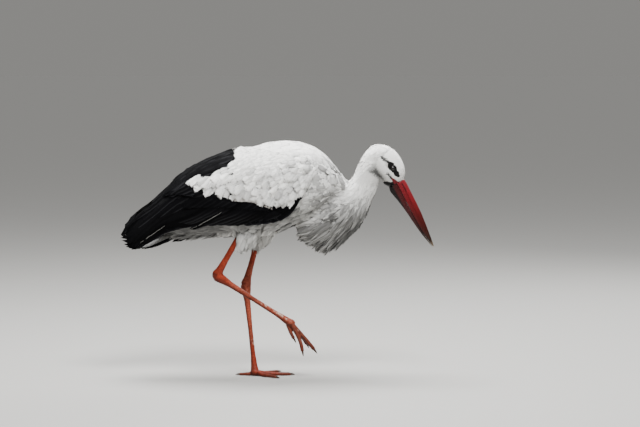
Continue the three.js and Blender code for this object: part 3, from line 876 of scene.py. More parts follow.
def paint_skin():
    """Lays the markings on the skin, each over the last."""
    mesh = skin.data
    points, ups = positions(mesh), vertex_normals(mesh)
    x, _, z = points.T / MM
    scales = np.empty(len(points), dtype=np.float32)
    mesh.attributes["Raised"].data.foreach_get("value", scales)
    on_leg = smooth(0.2, 0.8, scales)  # only the legs have scales, stored from 1 to 2
    colours = np.tile(linear(DOWNY_SKIN), (len(points), 1))
    colours = painted_legs(colours, points, ups, np.clip(scales - 1, 0, 1), on_leg)
    colours = laid(colours, SOOT_BLACK, under_black(points) * (1 - on_leg))
    colours = laid(colours, FACE_WHITE, ((z > HEAD_LOW) & (x > 240)) * (1 - on_leg))
    # the face's dark lines, with the jaw's painted shade, laid on the skin under the feathers
    colours = laid(colours, MASK_BLACK, streak(points) * (1 - on_leg) * (z > HEAD_LOW))
    colours = laid(colours, MASK_BLACK, smooth(0.0, 0.3, mask(points)))
    back, up, out = head_place(points)
    wedge_half = np.maximum(6.2 - 0.36 * back, 0.1)
    wedge = 1 - smooth(0.75, 1.0, np.abs(up - gape_line(back) - 0.8) / wedge_half)
    colours = laid(colours, BILL_RED, wedge * (back < 15) * (z > 430) * (out > 3))
    put_colours(mesh, "Markings", colours)


paint_skin()


def unwrap_skin():
    """One unwrap for the whole skin, which its feathers share."""
    make_active(skin)
    while skin.data.uv_layers:
        skin.data.uv_layers.remove(skin.data.uv_layers[0])
    skin.data.uv_layers.new(name="OFBake")
    bpy.ops.object.mode_set(mode="EDIT")
    bpy.ops.mesh.select_all(action="SELECT")
    bpy.ops.uv.smart_project(angle_limit=math.radians(75), island_margin=0.002)
    bpy.ops.object.mode_set(mode="OBJECT")


unwrap_skin()
skin.data.materials.append(SKIN)
shade_smooth(skin.data)
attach(skin, "root")
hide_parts(*FLESH, *LEG_PARTS, *[f"wing_{side}_coverts" for side in SIDES])


class SkinMap(Shell):
    """The skin with its unwrap, which says where on it a feather grows."""

    def __init__(self, obj):
        super().__init__(obj)
        mesh = obj.data
        loops = np.empty(len(mesh.loop_triangles) * 3, dtype=np.int32)
        mesh.loop_triangles.foreach_get("loops", loops)
        flat = np.empty(len(mesh.loops) * 2)
        mesh.uv_layers["OFBake"].data.foreach_get("uv", flat)
        self.corners = flat.reshape(-1, 2)[loops].reshape(-1, 3, 2)

    def unwrapped(self, places):
        found, _, faces = self.snap(places)
        share = self.weights(found, faces)
        return (self.corners[faces] * share[:, :, None]).sum(axis=1)


SKIN_MAP = SkinMap(skin)

# ---------------------------------------------------------------- lie of the coat

THROAT_BEND = np.array([285.0, 440.0])  # the head's feathers turn round this point, in x and z

# x and z in millimetres, and the way a feather's tip points there, on the head, neck and body
BODY_LIE = [
    (270, 480, -0.45, -0.90),
    (252, 430, -0.42, -0.91),
    (235, 390, -0.50, -0.87),
    (212, 352, -0.66, -0.75),
    (175, 325, -0.72, -0.69),
    (125, 318, -0.86, -0.50),
    (235, 462, -0.75, -0.66),
    (222, 452, -0.98, -0.20),
    (205, 458, -0.90, 0.42),
    (185, 487, -0.80, 0.60),
    (150, 520, -0.92, 0.38),
    (95, 540, -1.00, 0.08),
    (20, 532, -1.00, -0.10),
    (-60, 505, -0.95, -0.30),
    (-150, 440, -0.85, -0.52),
    (190, 425, -0.85, 0.10),
    (160, 395, -0.92, -0.35),
    (110, 360, -0.94, -0.30),
    (30, 335, -1.00, -0.12),
    (-100, 325, -1.00, 0.02),
    (-190, 330, -1.00, 0.05),
]
# The same over the folded wing
WING_LIE = [
    (150, 500, -0.90, -0.20),
    (138, 450, -0.62, -0.78),
    (118, 415, -0.42, -0.91),
    (85, 395, -0.40, -0.92),
    (60, 430, -0.60, -0.80),
    (60, 480, -0.88, -0.46),
    (60, 520, -1.00, -0.10),
    (0, 520, -1.00, -0.12),
    (0, 470, -0.85, -0.52),
    (0, 420, -0.50, -0.87),
    (-60, 500, -0.95, -0.32),
    (-60, 450, -0.80, -0.60),
    (-60, 415, -0.58, -0.82),
    (-130, 450, -0.85, -0.52),
]


LIE_SOFTNESS = 16.0


def lie(points, guides):
    """The way feathers point at each place, blended from the guides nearest it."""
    flat = points[:, [0, 2]] / MM
    spots = np.array([guide[:2] for guide in guides], dtype=float)
    ways = np.array([guide[2:] for guide in guides])
    far = ((flat[:, None, :] - spots[None]) ** 2).sum(axis=2)
    share = 1 / (far + LIE_SOFTNESS**2) ** 2
    way = (ways[None] * share[:, :, None]).sum(axis=1)
    return unit(np.stack([way[:, 0], np.zeros(len(way)), way[:, 1]], axis=1))


def body_lie(points):
    """Back over the head, round the throat, down the neck, then back along the body."""
    flat = points[:, [0, 2]] / MM - THROAT_BEND
    swirl = unit(np.stack([-flat[:, 1], np.zeros(len(flat)), flat[:, 0]], axis=1))
    back, _, _ = head_place(points)
    on_head = smooth(105, 80, back) * smooth(440, 452, points[:, 2] / MM)
    return unit(lie(points, BODY_LIE) * (1 - on_head)[:, None] + swirl * on_head[:, None])


def wing_lie(points):
    return lie(points, WING_LIE)


def thigh_lie(points):
    return np.tile(unit(np.array([-0.25, 0.0, -1.0])), (len(points), 1))


# ---------------------------------------------------------------- feather shapes


def strip_quads(points, steps, order=(0, 1, 3, 2)):
    """The faces of a strip of vertex pairs that was just added to the points, their corners in this order."""
    first = len(points) - 2 * (steps + 1)
    return [tuple(a + corner for corner in order) for a in range(first, first + 2 * steps, 2)]


def tuft_shape(blades, steps, split, fan, rounding, seed, vee=0.10):
    """A soft feather: blades of joined barbs, side by side from the root and parted near the tip.

    Each vertex is (along, across, rise), along as a share of the length, the others of the half width.
    """
    random = np.random.default_rng(seed)
    points, quads = [], []
    for blade in range(blades):
        middle = (blade - (blades - 1) / 2) / max((blades - 1) / 2, 0.5)
        reach = 1 - rounding * middle * middle - random.uniform(0, 0.12)
        stray = random.uniform(-0.12, 0.12)
        rise = random.uniform(-0.06, 0.06)
        for step in range(steps + 1):
            t = step / steps
            spread = 0.45 + 0.55 * min(1.0, t * 2.4) + fan * max(0.0, t - 0.5)
            past = max(0.0, (t - split) / (1 - split))
            half = 1.4 / blades * (0.55 + 0.45 * min(1.0, t * 3))
            half *= max(0.12, math.sqrt(1 - past**2 * 0.985))
            centre = middle * (1 - 1 / blades) * spread + stray * past
            for edge in (-1, 1):
                across = centre + edge * half
                points.append((t * reach, across, rise - vee * abs(across)))
        quads += strip_quads(points, steps)
    return np.array(points), np.array(quads)


BARB_SWEEP = 0.36


def barbed_shape(barbs_a_side, seed, joints=2, vee=0.2, droop=0.15, rag=0.06):
    """A feather of single barbs, which slant from the shaft on both sides and part here and there."""
    random = np.random.default_rng(seed)
    points, quads = [], []
    gap = 0.88 / barbs_a_side
    for side in (-1, 1):
        stray = 0.0
        for k in range(barbs_a_side):
            start = 0.06 + gap * k
            reach = min(1.0, 0.45 + start * 1.7) * min(1.0, 0.15 + (1 - start) / 0.42)
            reach *= 1 - random.uniform(0, 2 * rag)
            stray = stray * 0.6 + random.normal(0, rag * 0.35)
            lifted = random.uniform(-0.05, 0.05)
            for joint in range(joints + 1):
                share = joint / joints
                across = side * reach * share
                along = min(1.0, start + BARB_SWEEP * reach * share**1.25 + stray * share)
                half = gap * (0.85 - 0.5 * share**2)
                rise = lifted * share - vee * abs(across) ** 1.5 - droop * along**2
                points.append((max(0.0, along - half), across, rise))
                points.append((along + half, across, rise + 0.02))
            quads += strip_quads(points, joints, (0, 2, 3, 1) if side > 0 else (1, 3, 2, 0))
    return np.array(points), np.array(quads)


def grid_quads(rows, columns):
    """The faces of a grid of vertices, row by row."""
    index = np.arange(rows * columns).reshape(rows, columns)
    corners = (index[:-1, :-1], index[:-1, 1:], index[1:, 1:], index[1:, :-1])
    return np.stack(corners, axis=-1).reshape(-1, 4)


def vane_shape(steps, columns, seed, vee=0.14, blunt=2.4, root=0.4, ragged=0.05):
    """A whole smooth vane: a gutter-shaped sheet with a rounded, slightly ragged end."""
    late = np.random.default_rng(seed).uniform(0, 1, columns)
    points = []
    for step in range(steps + 1):
        t = step / steps
        swell = root + (1 - root) * min(1.0, t * 3.0) ** 0.7
        close = max(0.0, 1 - max(0.0, (t - 0.5) / 0.5) ** blunt) ** 0.5
        half = swell * max(0.04, close)
        for column in range(columns):
            u = 2 * column / (columns - 1) - 1
            lag = ragged * late[column] * smooth(0.6, 1.0, t)
            points.append((t * (1 - lag), u * half, -vee * abs(u) * half))
    return np.array(points), grid_quads(steps + 1, columns)


BAKE_PATCH = 0.003  # how wide a feather's patch is on the skin's unwrap
ROOT_DEPTH = 0.004  # how deep in the coat a root looks for its place on the skin


def feather_block(places, quads, roots, across, along, vane, look):
    """The vertices, faces, maps and looks of feathers of one shape.

    roots are their places on the skin's unwrap. across and along say where a vertex is in its feather, vane
    where it is in centimetres, and look holds its tone, how far along it is, how far its edge is lightened by
    wear and painted sheen, and how strongly shafted.
    """
    bake = roots[:, None] + BAKE_PATCH * np.stack([across * 0.45, along - 0.5], axis=1)
    return {
        "vertices": places,
        "quads": quads,
        "Vane": vane,
        "OFBake": bake.reshape(-1, 2),
        "Look": np.stack(np.broadcast_arrays(*look), axis=-1).reshape(-1, 4),
    }


def build_feathers(name, blocks, material, replaced):
    """One mesh of many feathers, from blocks of them."""
    vertices = np.concatenate([block["vertices"] for block in blocks])
    starts = np.cumsum([0] + [len(block["vertices"]) for block in blocks[:-1]])
    quads = np.concatenate([block["quads"] + start for block, start in zip(blocks, starts)])
    mesh = bpy.data.meshes.new(name)
    mesh.vertices.add(len(vertices))
    mesh.vertices.foreach_set("co", vertices.astype(np.float32).ravel())
    mesh.loops.add(quads.size)
    mesh.loops.foreach_set("vertex_index", quads.astype(np.int32).ravel())
    mesh.polygons.add(len(quads))
    mesh.polygons.foreach_set("loop_start", np.arange(0, quads.size, 4, dtype=np.int32))
    mesh.polygons.foreach_set("use_smooth", np.ones(len(quads), dtype=bool))
    for key in ("OFBake", "Vane"):
        values = np.concatenate([block[key] for block in blocks])
        layer = mesh.uv_layers.new(name=key)
        layer.data.foreach_set("uv", values[quads.ravel()].astype(np.float32).ravel())
    mesh.update(calc_edges=True)
    put_colours(mesh, "Look", np.concatenate([block["Look"] for block in blocks]))
    mesh.validate()
    mesh.materials.append(material)
    obj = in_scene(name, mesh)
    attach(obj, "root")
    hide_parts(*replaced)


def thinned(places, spacing, seed):
    """Which of the places to keep so that they stay spacing millimetres apart."""
    order = np.random.default_rng(seed).permutation(len(places))
    kept = []
    held = np.empty((0, 3))
    for i in order:
        if not len(held) or ((held - places[i]) ** 2).sum(axis=1).min() > (spacing * MM) ** 2:
            kept.append(i)
            held = places[kept]
    return np.array(kept)


def gathered(path, spacing, pull, seed):
    """Draws strands towards leading ones a spacing apart, so that they end in pointed locks.

    Gives the new path and the number of each strand's leader.
    """
    leaders = thinned(path[0], spacing, seed)
    tree = place_tree(path[0][leaders])
    mine = leaders[[tree.find(place)[1] for place in path[0].tolist()]]
    pull = np.broadcast_to(pull, len(mine))[None, :, None]
    share = np.linspace(0, 1, len(path))[:, None, None] ** 1.2 * pull
    return path + (path[:, mine] - path) * share, mine


def grow(shell, roots, way_at, shapes, seed, *, length, width, depth, lift, tone, stations=6, wander=0.1,
         roll=0.1, level=0.4, heave=0.0, loose=None, hang=(0, 0, -0.3), limit=None, locks=None, edge=0.4):
    """Lays feathers along a shell from their roots, each following the lie of the coat.

    Sizes are in millimetres, one for each root or one for all. loose says where a feather leaves the
    surface and turns the way of hang. locks is (spacing, pull, relief, contrast) for strands that draw
    together, each lock standing and toned a little apart from the next. limit says where a feather ends.
    """
    random = np.random.default_rng(seed)
    count = len(roots)
    sizes = (length, width, depth, lift, tone, heave)
    sizes = [np.broadcast_to(np.asarray(value, float), (count,)) for value in sizes]
    length, width, depth, lift, tone, heave = sizes
    at, up, _ = shell.snap(roots)
    way = along_surface(way_at(at), up)
    side = np.cross(way, up)
    way = unit(way + side * (random.normal(0, 1, count) * wander)[:, None])
    path, ups, ways = [at], [up], [way]
    step = (length * MM / (stations - 1))[:, None]
    gone = np.zeros(count, dtype=bool)
    for _ in range(1, stations):
        ahead = at + way * step
        found, normal, _ = shell.snap(ahead)
        if loose is not None:
            gone |= loose(ahead)
        turned = along_surface(way * 1.5 + way_at(found) * 0.5, normal)
        hung = unit(way + np.asarray(hang))
        free = gone[:, None]
        way = np.where(free, hung, turned)
        at = np.where(free, ahead, found)
        up = unit(np.where(free, up, up + normal))
        path.append(at)
        ups.append(up)
        ways.append(way)
    path, ups, ways = np.array(path), np.array(ups), np.array(ways)
    if limit is not None:
        past = limit(path.reshape(-1, 3)).reshape(stations, count)
        last = np.maximum(np.where(past.any(axis=0), past.argmax(axis=0), stations - 1), 2)
        spot = np.linspace(0, 1, stations)[:, None] * last
        low = np.minimum(spot.astype(int), stations - 2)
        part = (spot - low)[..., None]
        mine = np.arange(count)
        path = path[low, mine] * (1 - part) + path[low + 1, mine] * part
        ups = unit(ups[low, mine] * (1 - part) + ups[low + 1, mine] * part)
        ways = unit(np.gradient(path, axis=0))
        length = length * last / (stations - 1)
    raised = random.uniform(-level, level, count) + heave
    if locks:
        spacing, pull, relief, contrast = locks
        path, leader = gathered(path, spacing, pull, seed + 1)
        ways = unit(np.gradient(path, axis=0))
        raised = raised + random.uniform(-1, 1, count)[leader] * relief
        tone = tone * (1 + random.uniform(-1, 0.3, count)[leader] * contrast)
    bake_root = SKIN_MAP.unwrapped(path[0] - ups[0] * ROOT_DEPTH)
    rolls = random.normal(0, 1, count) * roll
    kinds = random.integers(0, len(shapes), count)
    blocks = []
    for kind, (shape, quads) in enumerate(shapes):
        mine = np.flatnonzero(kinds == kind)
        if not len(mine):
            continue
        along, across, rise = shape.T
        spot = along * (stations - 1)
        low = np.minimum(spot.astype(int), stations - 2)
        part = (spot - low)[:, None, None]
        centre = path[low][:, mine] * (1 - part) + path[low + 1][:, mine] * part
        normal = unit(ups[low][:, mine] * (1 - part) + ups[low + 1][:, mine] * part)
        forward = unit(ways[low][:, mine] * (1 - part) + ways[low + 1][:, mine] * part)
        sideways = unit(np.cross(forward, normal))
        half = width[mine][None] / 2
        out = across[:, None] * half
        height = rise[:, None] * half + out * rolls[mine][None]
        height = height - depth[mine][None] * (1 - smooth(0, 0.38, along))[:, None]
        height = height + lift[mine][None] * (along**2)[:, None]
        height = height + raised[mine][None] * smooth(0.0, 0.4, along)[:, None]
        vertices = centre + sideways * (out * MM)[..., None] + normal * (height * MM)[..., None]
        vertices = vertices.transpose(1, 0, 2)
        long = along[:, None] * length[mine][None]
        vane = np.stack([out.T / 10, long.T / 10], axis=2).reshape(-1, 2)
        look = (tone[mine][:, None], along, np.abs(across) ** 4 * edge, 0.0)
        offsets = np.arange(len(mine))[:, None, None] * len(along)
        faces = (quads[None] + offsets).reshape(-1, 4)
        blocks.append(feather_block(vertices.reshape(-1, 3), faces, bake_root[mine], across, along, vane, look))
    return blocks


# ---------------------------------------------------------------- which part of the coat a place is in


def wing_hides(points):
    """Whether a place on the body lies under either wing."""
    hidden = np.zeros(len(points), dtype=bool)
    for side, out in SIDES.items():
        tree = WING[side].tree
        for i in np.flatnonzero(points[:, 1] * out > -0.012).tolist():
            hit = tree.ray_cast(points[i] + np.array([0, out * 0.0005, 0]), (0, out, 0))
            hidden[i] |= hit[0] is not None
    return hidden


HIDDEN_REACH = 15.0 * MM


def shown(points):
    """Drops the roots whose feathers a wing hides wholly."""
    lower = points - np.array([0, 0, HIDDEN_REACH])
    behind = points - np.array([HIDDEN_REACH, 0, 0])
    return points[~(wing_hides(points) & wing_hides(lower) & wing_hides(behind))]


def head_zone(points, margin=0.0):
    """Where the head's own feathers grow; a negative margin draws the zone in."""
    back, _, _ = head_place(points)
    under = (points[:, 2] / MM > 452 - margin) | (back < 26)
    return (back < 66 + margin) & under & (points[:, 0] > 0.24) & (points[:, 2] > 0.437 - margin * 0.0017)


def thigh_zone(points):
    """The loose trousers of the thighs."""
    z = points[:, 2] / MM
    behind = (points[:, 0] > -0.085) & (z < 336) & (points[:, 1] < -0.012)
    return (z < 340) & (points[:, 0] < 0.075) & ((points[:, 0] > -0.055) | behind) & (z > 285)


def neck_zone(points):
    """The neck behind the head, but neither its folded nape nor the bare chin."""
    x, _, z = points.T / MM
    nape = (x < 218) & (z > 455)
    chin = (x > 284) & (z > 425)
    return ~head_zone(points, -7.0) & (x > 200) & (z > 325) & ~nape & ~chin


def plume_zone(points):
    """The front and sides of the lower neck, down to the breast."""
    x, _, z = points.T / MM
    nape = (x < 222) & (z > 425)
    return (x > 128) & (z < 436) & ~nape & ((z < 365) | (x > 196)) & (z < 300 + 0.9 * (x - 60))


def upper_zone(points):
    """Back, shoulders and the top of the wings, where the body's feathers lie over them."""
    x, _, z = points.T / MM
    return ~head_zone(points) & ~neck_zone(points) & (z > 395) & (x > -60)


def bare(points):
    """Whether the face is too bare for feathers."""
    return mask(points) > 0.35


# ---------------------------------------------------------------- coat of the head and neck


def wing_edge(points):
    """Millimetres from a place on the body to the nearer wing, for places a wing doesn't cover."""
    far = np.full(len(points), 99.0)
    for side, out in SIDES.items():
        near = np.flatnonzero((points[:, 1] * out > -5 * MM) & (points[:, 0] < 0.19))
        far[near] = np.minimum(far[near], WING[side].distance(points[near]) / MM)
    return far


def lit_from_above(points):
    """Painted light and shade on the coat: a little brighter where it faces up, greyer where it faces the
    ground.
    """
    _, normals, _ = BODY.snap(points)
    return 0.72 + 0.31 * smooth(-0.85, 0.55, normals[:, 2])


def head_coat():
    """Short flat feathers on crown and cheek, dark where the streaks run and sinking into the neck's."""

    def keep(points):
        back, up, _ = head_place(points)
        edge = -3.0 - 3.5 * smooth(12, 20, up) + 1.4 * waviness(points, 3 * MM, 8)
        tips = points + body_lie(points) * 4.5 * MM
        return head_zone(points) & ~bare(points) & ~bare(tips) & (back > edge)

    roots = scatter(FACE, 1.8, keep, 11)
    back, up, _ = head_place(roots)
    length = 7.0 + 9.0 * smooth(16, 66, back)
    length = length * (1 - 0.4 * smooth(14, 2, back))
    shapes = [barbed_shape(6, seed, joints=1, vee=0.1, droop=0.0) for seed in range(5)]
    # painted shade: the lower cheek greyer, where the head turns under towards the throat
    cheek = smooth(-6, -16, up) * smooth(8, 20, back)
    tone = (1.07 + 0.03 * waviness(roots, 12 * MM, 21)) * (1 - 0.26 * cheek) * lit_from_above(roots)
    ways = body_lie(roots)
    dark = [streak(roots + ways * (length * share * MM)[:, None]) for share in (0.4, 0.7, 0.95)]
    tone = tone * (1 - 0.94 * np.maximum.reduce(dark))
    last_rows = np.maximum(smooth(455, 439, roots[:, 2] / MM), smooth(54, 66, back)) * smooth(8, 16, back)
    blocks = grow(FACE, roots, body_lie, shapes, 31, length=length, width=4.0, depth=0.8,
                  lift=0.10 - 1.6 * last_rows, tone=tone, stations=5, wander=0.14 + 0.12 * last_rows,
                  roll=0.05, level=0.08, heave=-0.5 * last_rows)
    build_feathers("coat_head", blocks, WHITE_PLUMAGE, ["head"])


def neck_coat():
    """Soft feathers that lengthen and part down the neck."""
    roots = scatter(BODY, 2.4, neck_zone, 12)
    z = roots[:, 2] / MM
    length = 15 + 17 * smooth(500, 425, z)
    shapes = [tuft_shape(2, 5, 0.3, 0.0, 0.1, seed) for seed in range(10, 15)]
    low = smooth(455, 400, z)
    # painted shade: the neck's feathers greyer towards its lower end, where it turns under
    tone = (1.02 - 0.34 * low + 0.05 * waviness(roots, 10 * MM, 22)) * lit_from_above(roots)
    blocks = grow(BODY, roots, body_lie, shapes, 32, length=length, width=3.0, depth=3.0, lift=0.3 + 0.7 * low,
                  tone=tone, wander=0.12, roll=0.2, level=0.15 + 0.35 * low,
                  heave=0.5 * low * waviness(roots, 7 * MM, 42),
                  locks=(6.5, 0.75, 0.35 + 0.3 * low, 0.12 + 0.38 * low))
    build_feathers("coat_neck", blocks, WHITE_PLUMAGE, ["neck"])


# x and z that the tips of the throat's plumes reach down to
PLUME_TIPS = [(100, 322), (113, 318), (138, 304), (162, 288), (175, 291), (219, 322), (252, 368)]


def throat_plumes():
    """Long narrow plumes that hang from the lower neck in separate locks, over short ones toned dark as painted
    shade.
    """

    def leaves(points):
        x, _, z = points.T / MM
        return (z < 316) | (x < 118) | (z < 302 + 0.25 * (x - 100))

    def too_low(points):
        x, _, z = points.T / MM
        floor = np.interp(x, *np.transpose(PLUME_TIPS))
        return z < floor - 2 + 11 * waviness(points, 7 * MM, 50)

    def covered(points):
        return plume_zone(points) & plume_zone(points + np.array([-10.0, 0.0, 13.0]) * MM)

    random = np.random.default_rng(5)
    under = scatter(BODY, 4.2, covered, 20)
    soft = [tuft_shape(3, 5, 0.3, 0.1, 0.2, seed) for seed in range(90, 94)]
    # the under layer is toned down to 0.32: painted shade in the gaps between the locks
    blocks = grow(BODY, under, body_lie, soft, 40, length=20.0, width=6.0, depth=3.4, lift=0.0, tone=0.32,
                  wander=0.2, roll=0.2, level=0.3)
    roots = scatter(BODY, 2.15, plume_zone, 13)
    z = roots[:, 2] / MM
    low = smooth(436, 385, z)
    length = (26 + 40 * smooth(436, 345, z)) * random.uniform(0.8, 1.2, len(roots))
    length = length * (1 - 0.35 * smooth(165, 130, roots[:, 0] / MM))
    shapes = [tuft_shape(1, 8, 0.2, 0.0, 0.0, seed, vee=0.3) for seed in range(20, 26)]
    # painted shade: darker down the throat, and darker again towards its front where it turns under
    tone = 0.94 - 0.40 * smooth(438, 385, z) + 0.06 * waviness(roots, 8 * MM, 23)
    tone = tone * (1 - (0.1 + 0.42 * low) * random.uniform(-0.1, 1, len(roots))) * lit_from_above(roots)
    tone = tone * (1 - 0.26 * low * smooth(165, 200, roots[:, 0] / MM))
    blocks += grow(BODY, roots, body_lie, shapes, 33, length=length, width=2.3, depth=2.4, lift=0.4 + 3.0 * low,
                   tone=tone, stations=8, loose=leaves, hang=(-0.03, 0.0, -0.05), limit=too_low,
                   wander=0.08 + 0.04 * low, roll=0.1 + 0.2 * low,
                   level=0.1 + 0.6 * low, heave=0.2 + 0.8 * low * (1 + 0.7 * waviness(roots, 16 * MM, 43)),
                   locks=(7.5, 0.94, 0.3 + 2.0 * low, 0.15 + 0.5 * low))
    build_feathers("coat_throat_plumes", blocks, WHITE_PLUMAGE, ["neck"])


# ---------------------------------------------------------------- coat of the body


def mantle_coat():
    """White contour feathers over the back and shoulders, parted in locks towards the breast."""

    def white(points):
        return upper_zone(points) & (points[:, 0] / MM > -44 + 4 * waviness(points, 9 * MM, 41))

    def shoulder(points):
        return upper_zone(points) & (points[:, 0] > 0.12)

    def spacing(points):
        return 5.9 - 1.5 * smooth(135, 165, points[:, 0] / MM)

    roots = shown(scatter(BODY, 4.4, white, 14, spacing))
    x, z = roots[:, 0] / MM, roots[:, 2] / MM
    crease = smooth(16, 2, wing_edge(roots)) * smooth(500, 470, z)
    breast = smooth(112, 165, x) * smooth(500, 460, z)
    length = 24 + 8 * smooth(200, 60, x)
    shapes = [barbed_shape(12, seed, vee=0.12, droop=0.05) for seed in range(30, 36)]
    streaked = smooth(90, 160, x) * smooth(522, 488, z)
    # painted shade: greyer in the crease by the wing's edge, towards the breast, and in the streaked part of
    # the shoulder
    tone = (1.08 + 0.03 * waviness(roots, 18 * MM, 24)) * (1 - 0.35 * crease) * (1 - 0.42 * breast)
    tone = tone * (1 - 0.17 * streaked) * lit_from_above(roots)
    lining = scatter(BODY, 4.6, shoulder, 21)
    soft = [tuft_shape(3, 4, 0.4, 0.1, 0.3, seed) for seed in range(94, 97)]
    blocks = grow(BODY, lining, body_lie, soft, 41, length=16.0, width=9.0, depth=2.5, lift=-0.6, tone=0.85,
                  wander=0.2, level=0.2)
    blocks += grow(BODY, roots, body_lie, shapes, 34, length=length, width=14.0 - 5 * breast, depth=4.5,
                  lift=0.5 + 0.7 * breast, tone=tone, wander=0.10, roll=0.07, level=0.3 + 0.3 * breast,
                  heave=-2.6 * crease + (0.4 + 0.4 * breast) * waviness(roots, 16 * MM, 44),
                  locks=(12.0, 0.25 + 0.6 * streaked, 0.3 + 0.7 * breast, 0.12 + 0.34 * streaked))
    build_feathers("coat_back", blocks, WHITE_PLUMAGE, ["trunk"])


def belly_coat():
    """Loose tufts over flanks, belly and under the tail, toned down as painted shade and greyer towards the
    rear.
    """

    def keep(points):
        return ~head_zone(points) & ~neck_zone(points) & ~(points[:, 2] > 0.395) & ~thigh_zone(points)

    def leaves(points):
        x, y, z = points.T / MM
        return ((x < -170) & (z < 345)) | ((z < 330) & (x < -40) & (np.abs(y) < 60))

    roots = shown(scatter(BODY, 5.0, keep, 16))
    x = roots[:, 0] / MM
    crease = smooth(16, 2, wing_edge(roots)) * (x > 20)
    length = 24 + 18 * smooth(0, -160, x)
    shapes = [tuft_shape(5, 5, 0.3, 0.05, 0.3, seed) for seed in range(40, 46)]
    shaded = smooth(14, 3, wing_edge(roots)) * (x < 20)
    # painted shade: the underside toned down, darker in the crease by the wing, towards the rear and under the
    # wing's edge
    tone = (0.59 + 0.06 * waviness(roots, 14 * MM, 25)) * (1 - 0.3 * crease)
    tone = tone * (1 - 0.58 * smooth(30, -120, x)) * (1 - 0.35 * shaded) * lit_from_above(roots)
    blocks = grow(BODY, roots, body_lie, shapes, 36, length=length, width=8.0, depth=4.5, lift=1.4, tone=tone,
                  wander=0.22, roll=0.15, level=0.5, heave=0.9 * waviness(roots, 14 * MM, 45) - 2.4 * crease,
                  loose=leaves, hang=(-0.1, 0, -0.10), locks=(9.0, 0.8, 1.2, 0.45))
    build_feathers("coat_belly", blocks, WHITE_PLUMAGE, ["trunk"])


def thigh_coat():
    """Drooping tufts in locks, which end in loose tips over the bare legs."""

    def leaves(points):
        return points[:, 2] < 0.318

    roots = scatter(BODY, 3.2, thigh_zone, 17)
    shapes = [tuft_shape(2, 6, 0.25, 0.0, 0.1, seed) for seed in range(50, 56)]
    x, z = roots[:, 0] / MM, roots[:, 2] / MM
    # painted shade: the thighs toned down under the belly, darker at their lower ends
    tone = 0.66 + 0.06 * waviness(roots, 12 * MM, 26) - 0.12 * smooth(330, 300, z)
    rear = smooth(10, -25, x)
    length = 24.0 - 8 * smooth(322, 300, z) + 6 * rear
    blocks = grow(BODY, roots, thigh_lie, shapes, 37, length=length, width=4.0, depth=3.4,
                  lift=1.4 + 2.5 * rear, tone=tone, wander=0.22, roll=0.25, level=0.7,
                  heave=0.8 * waviness(roots, 9 * MM, 46), loose=leaves, hang=(0, 0, -0.2),
                  locks=(7.0, 0.85, 1.1, 0.45))
    build_feathers("coat_thighs", blocks, WHITE_PLUMAGE, ["thigh_right", "thigh_left"])


head_coat()
neck_coat()
throat_plumes()
mantle_coat()
belly_coat()
thigh_coat()

# ---------------------------------------------------------------- wings

QUILL_COLUMNS = np.array([-1.0, -0.62, -0.25, -0.05, 0.05, 0.25, 0.62, 1.0])


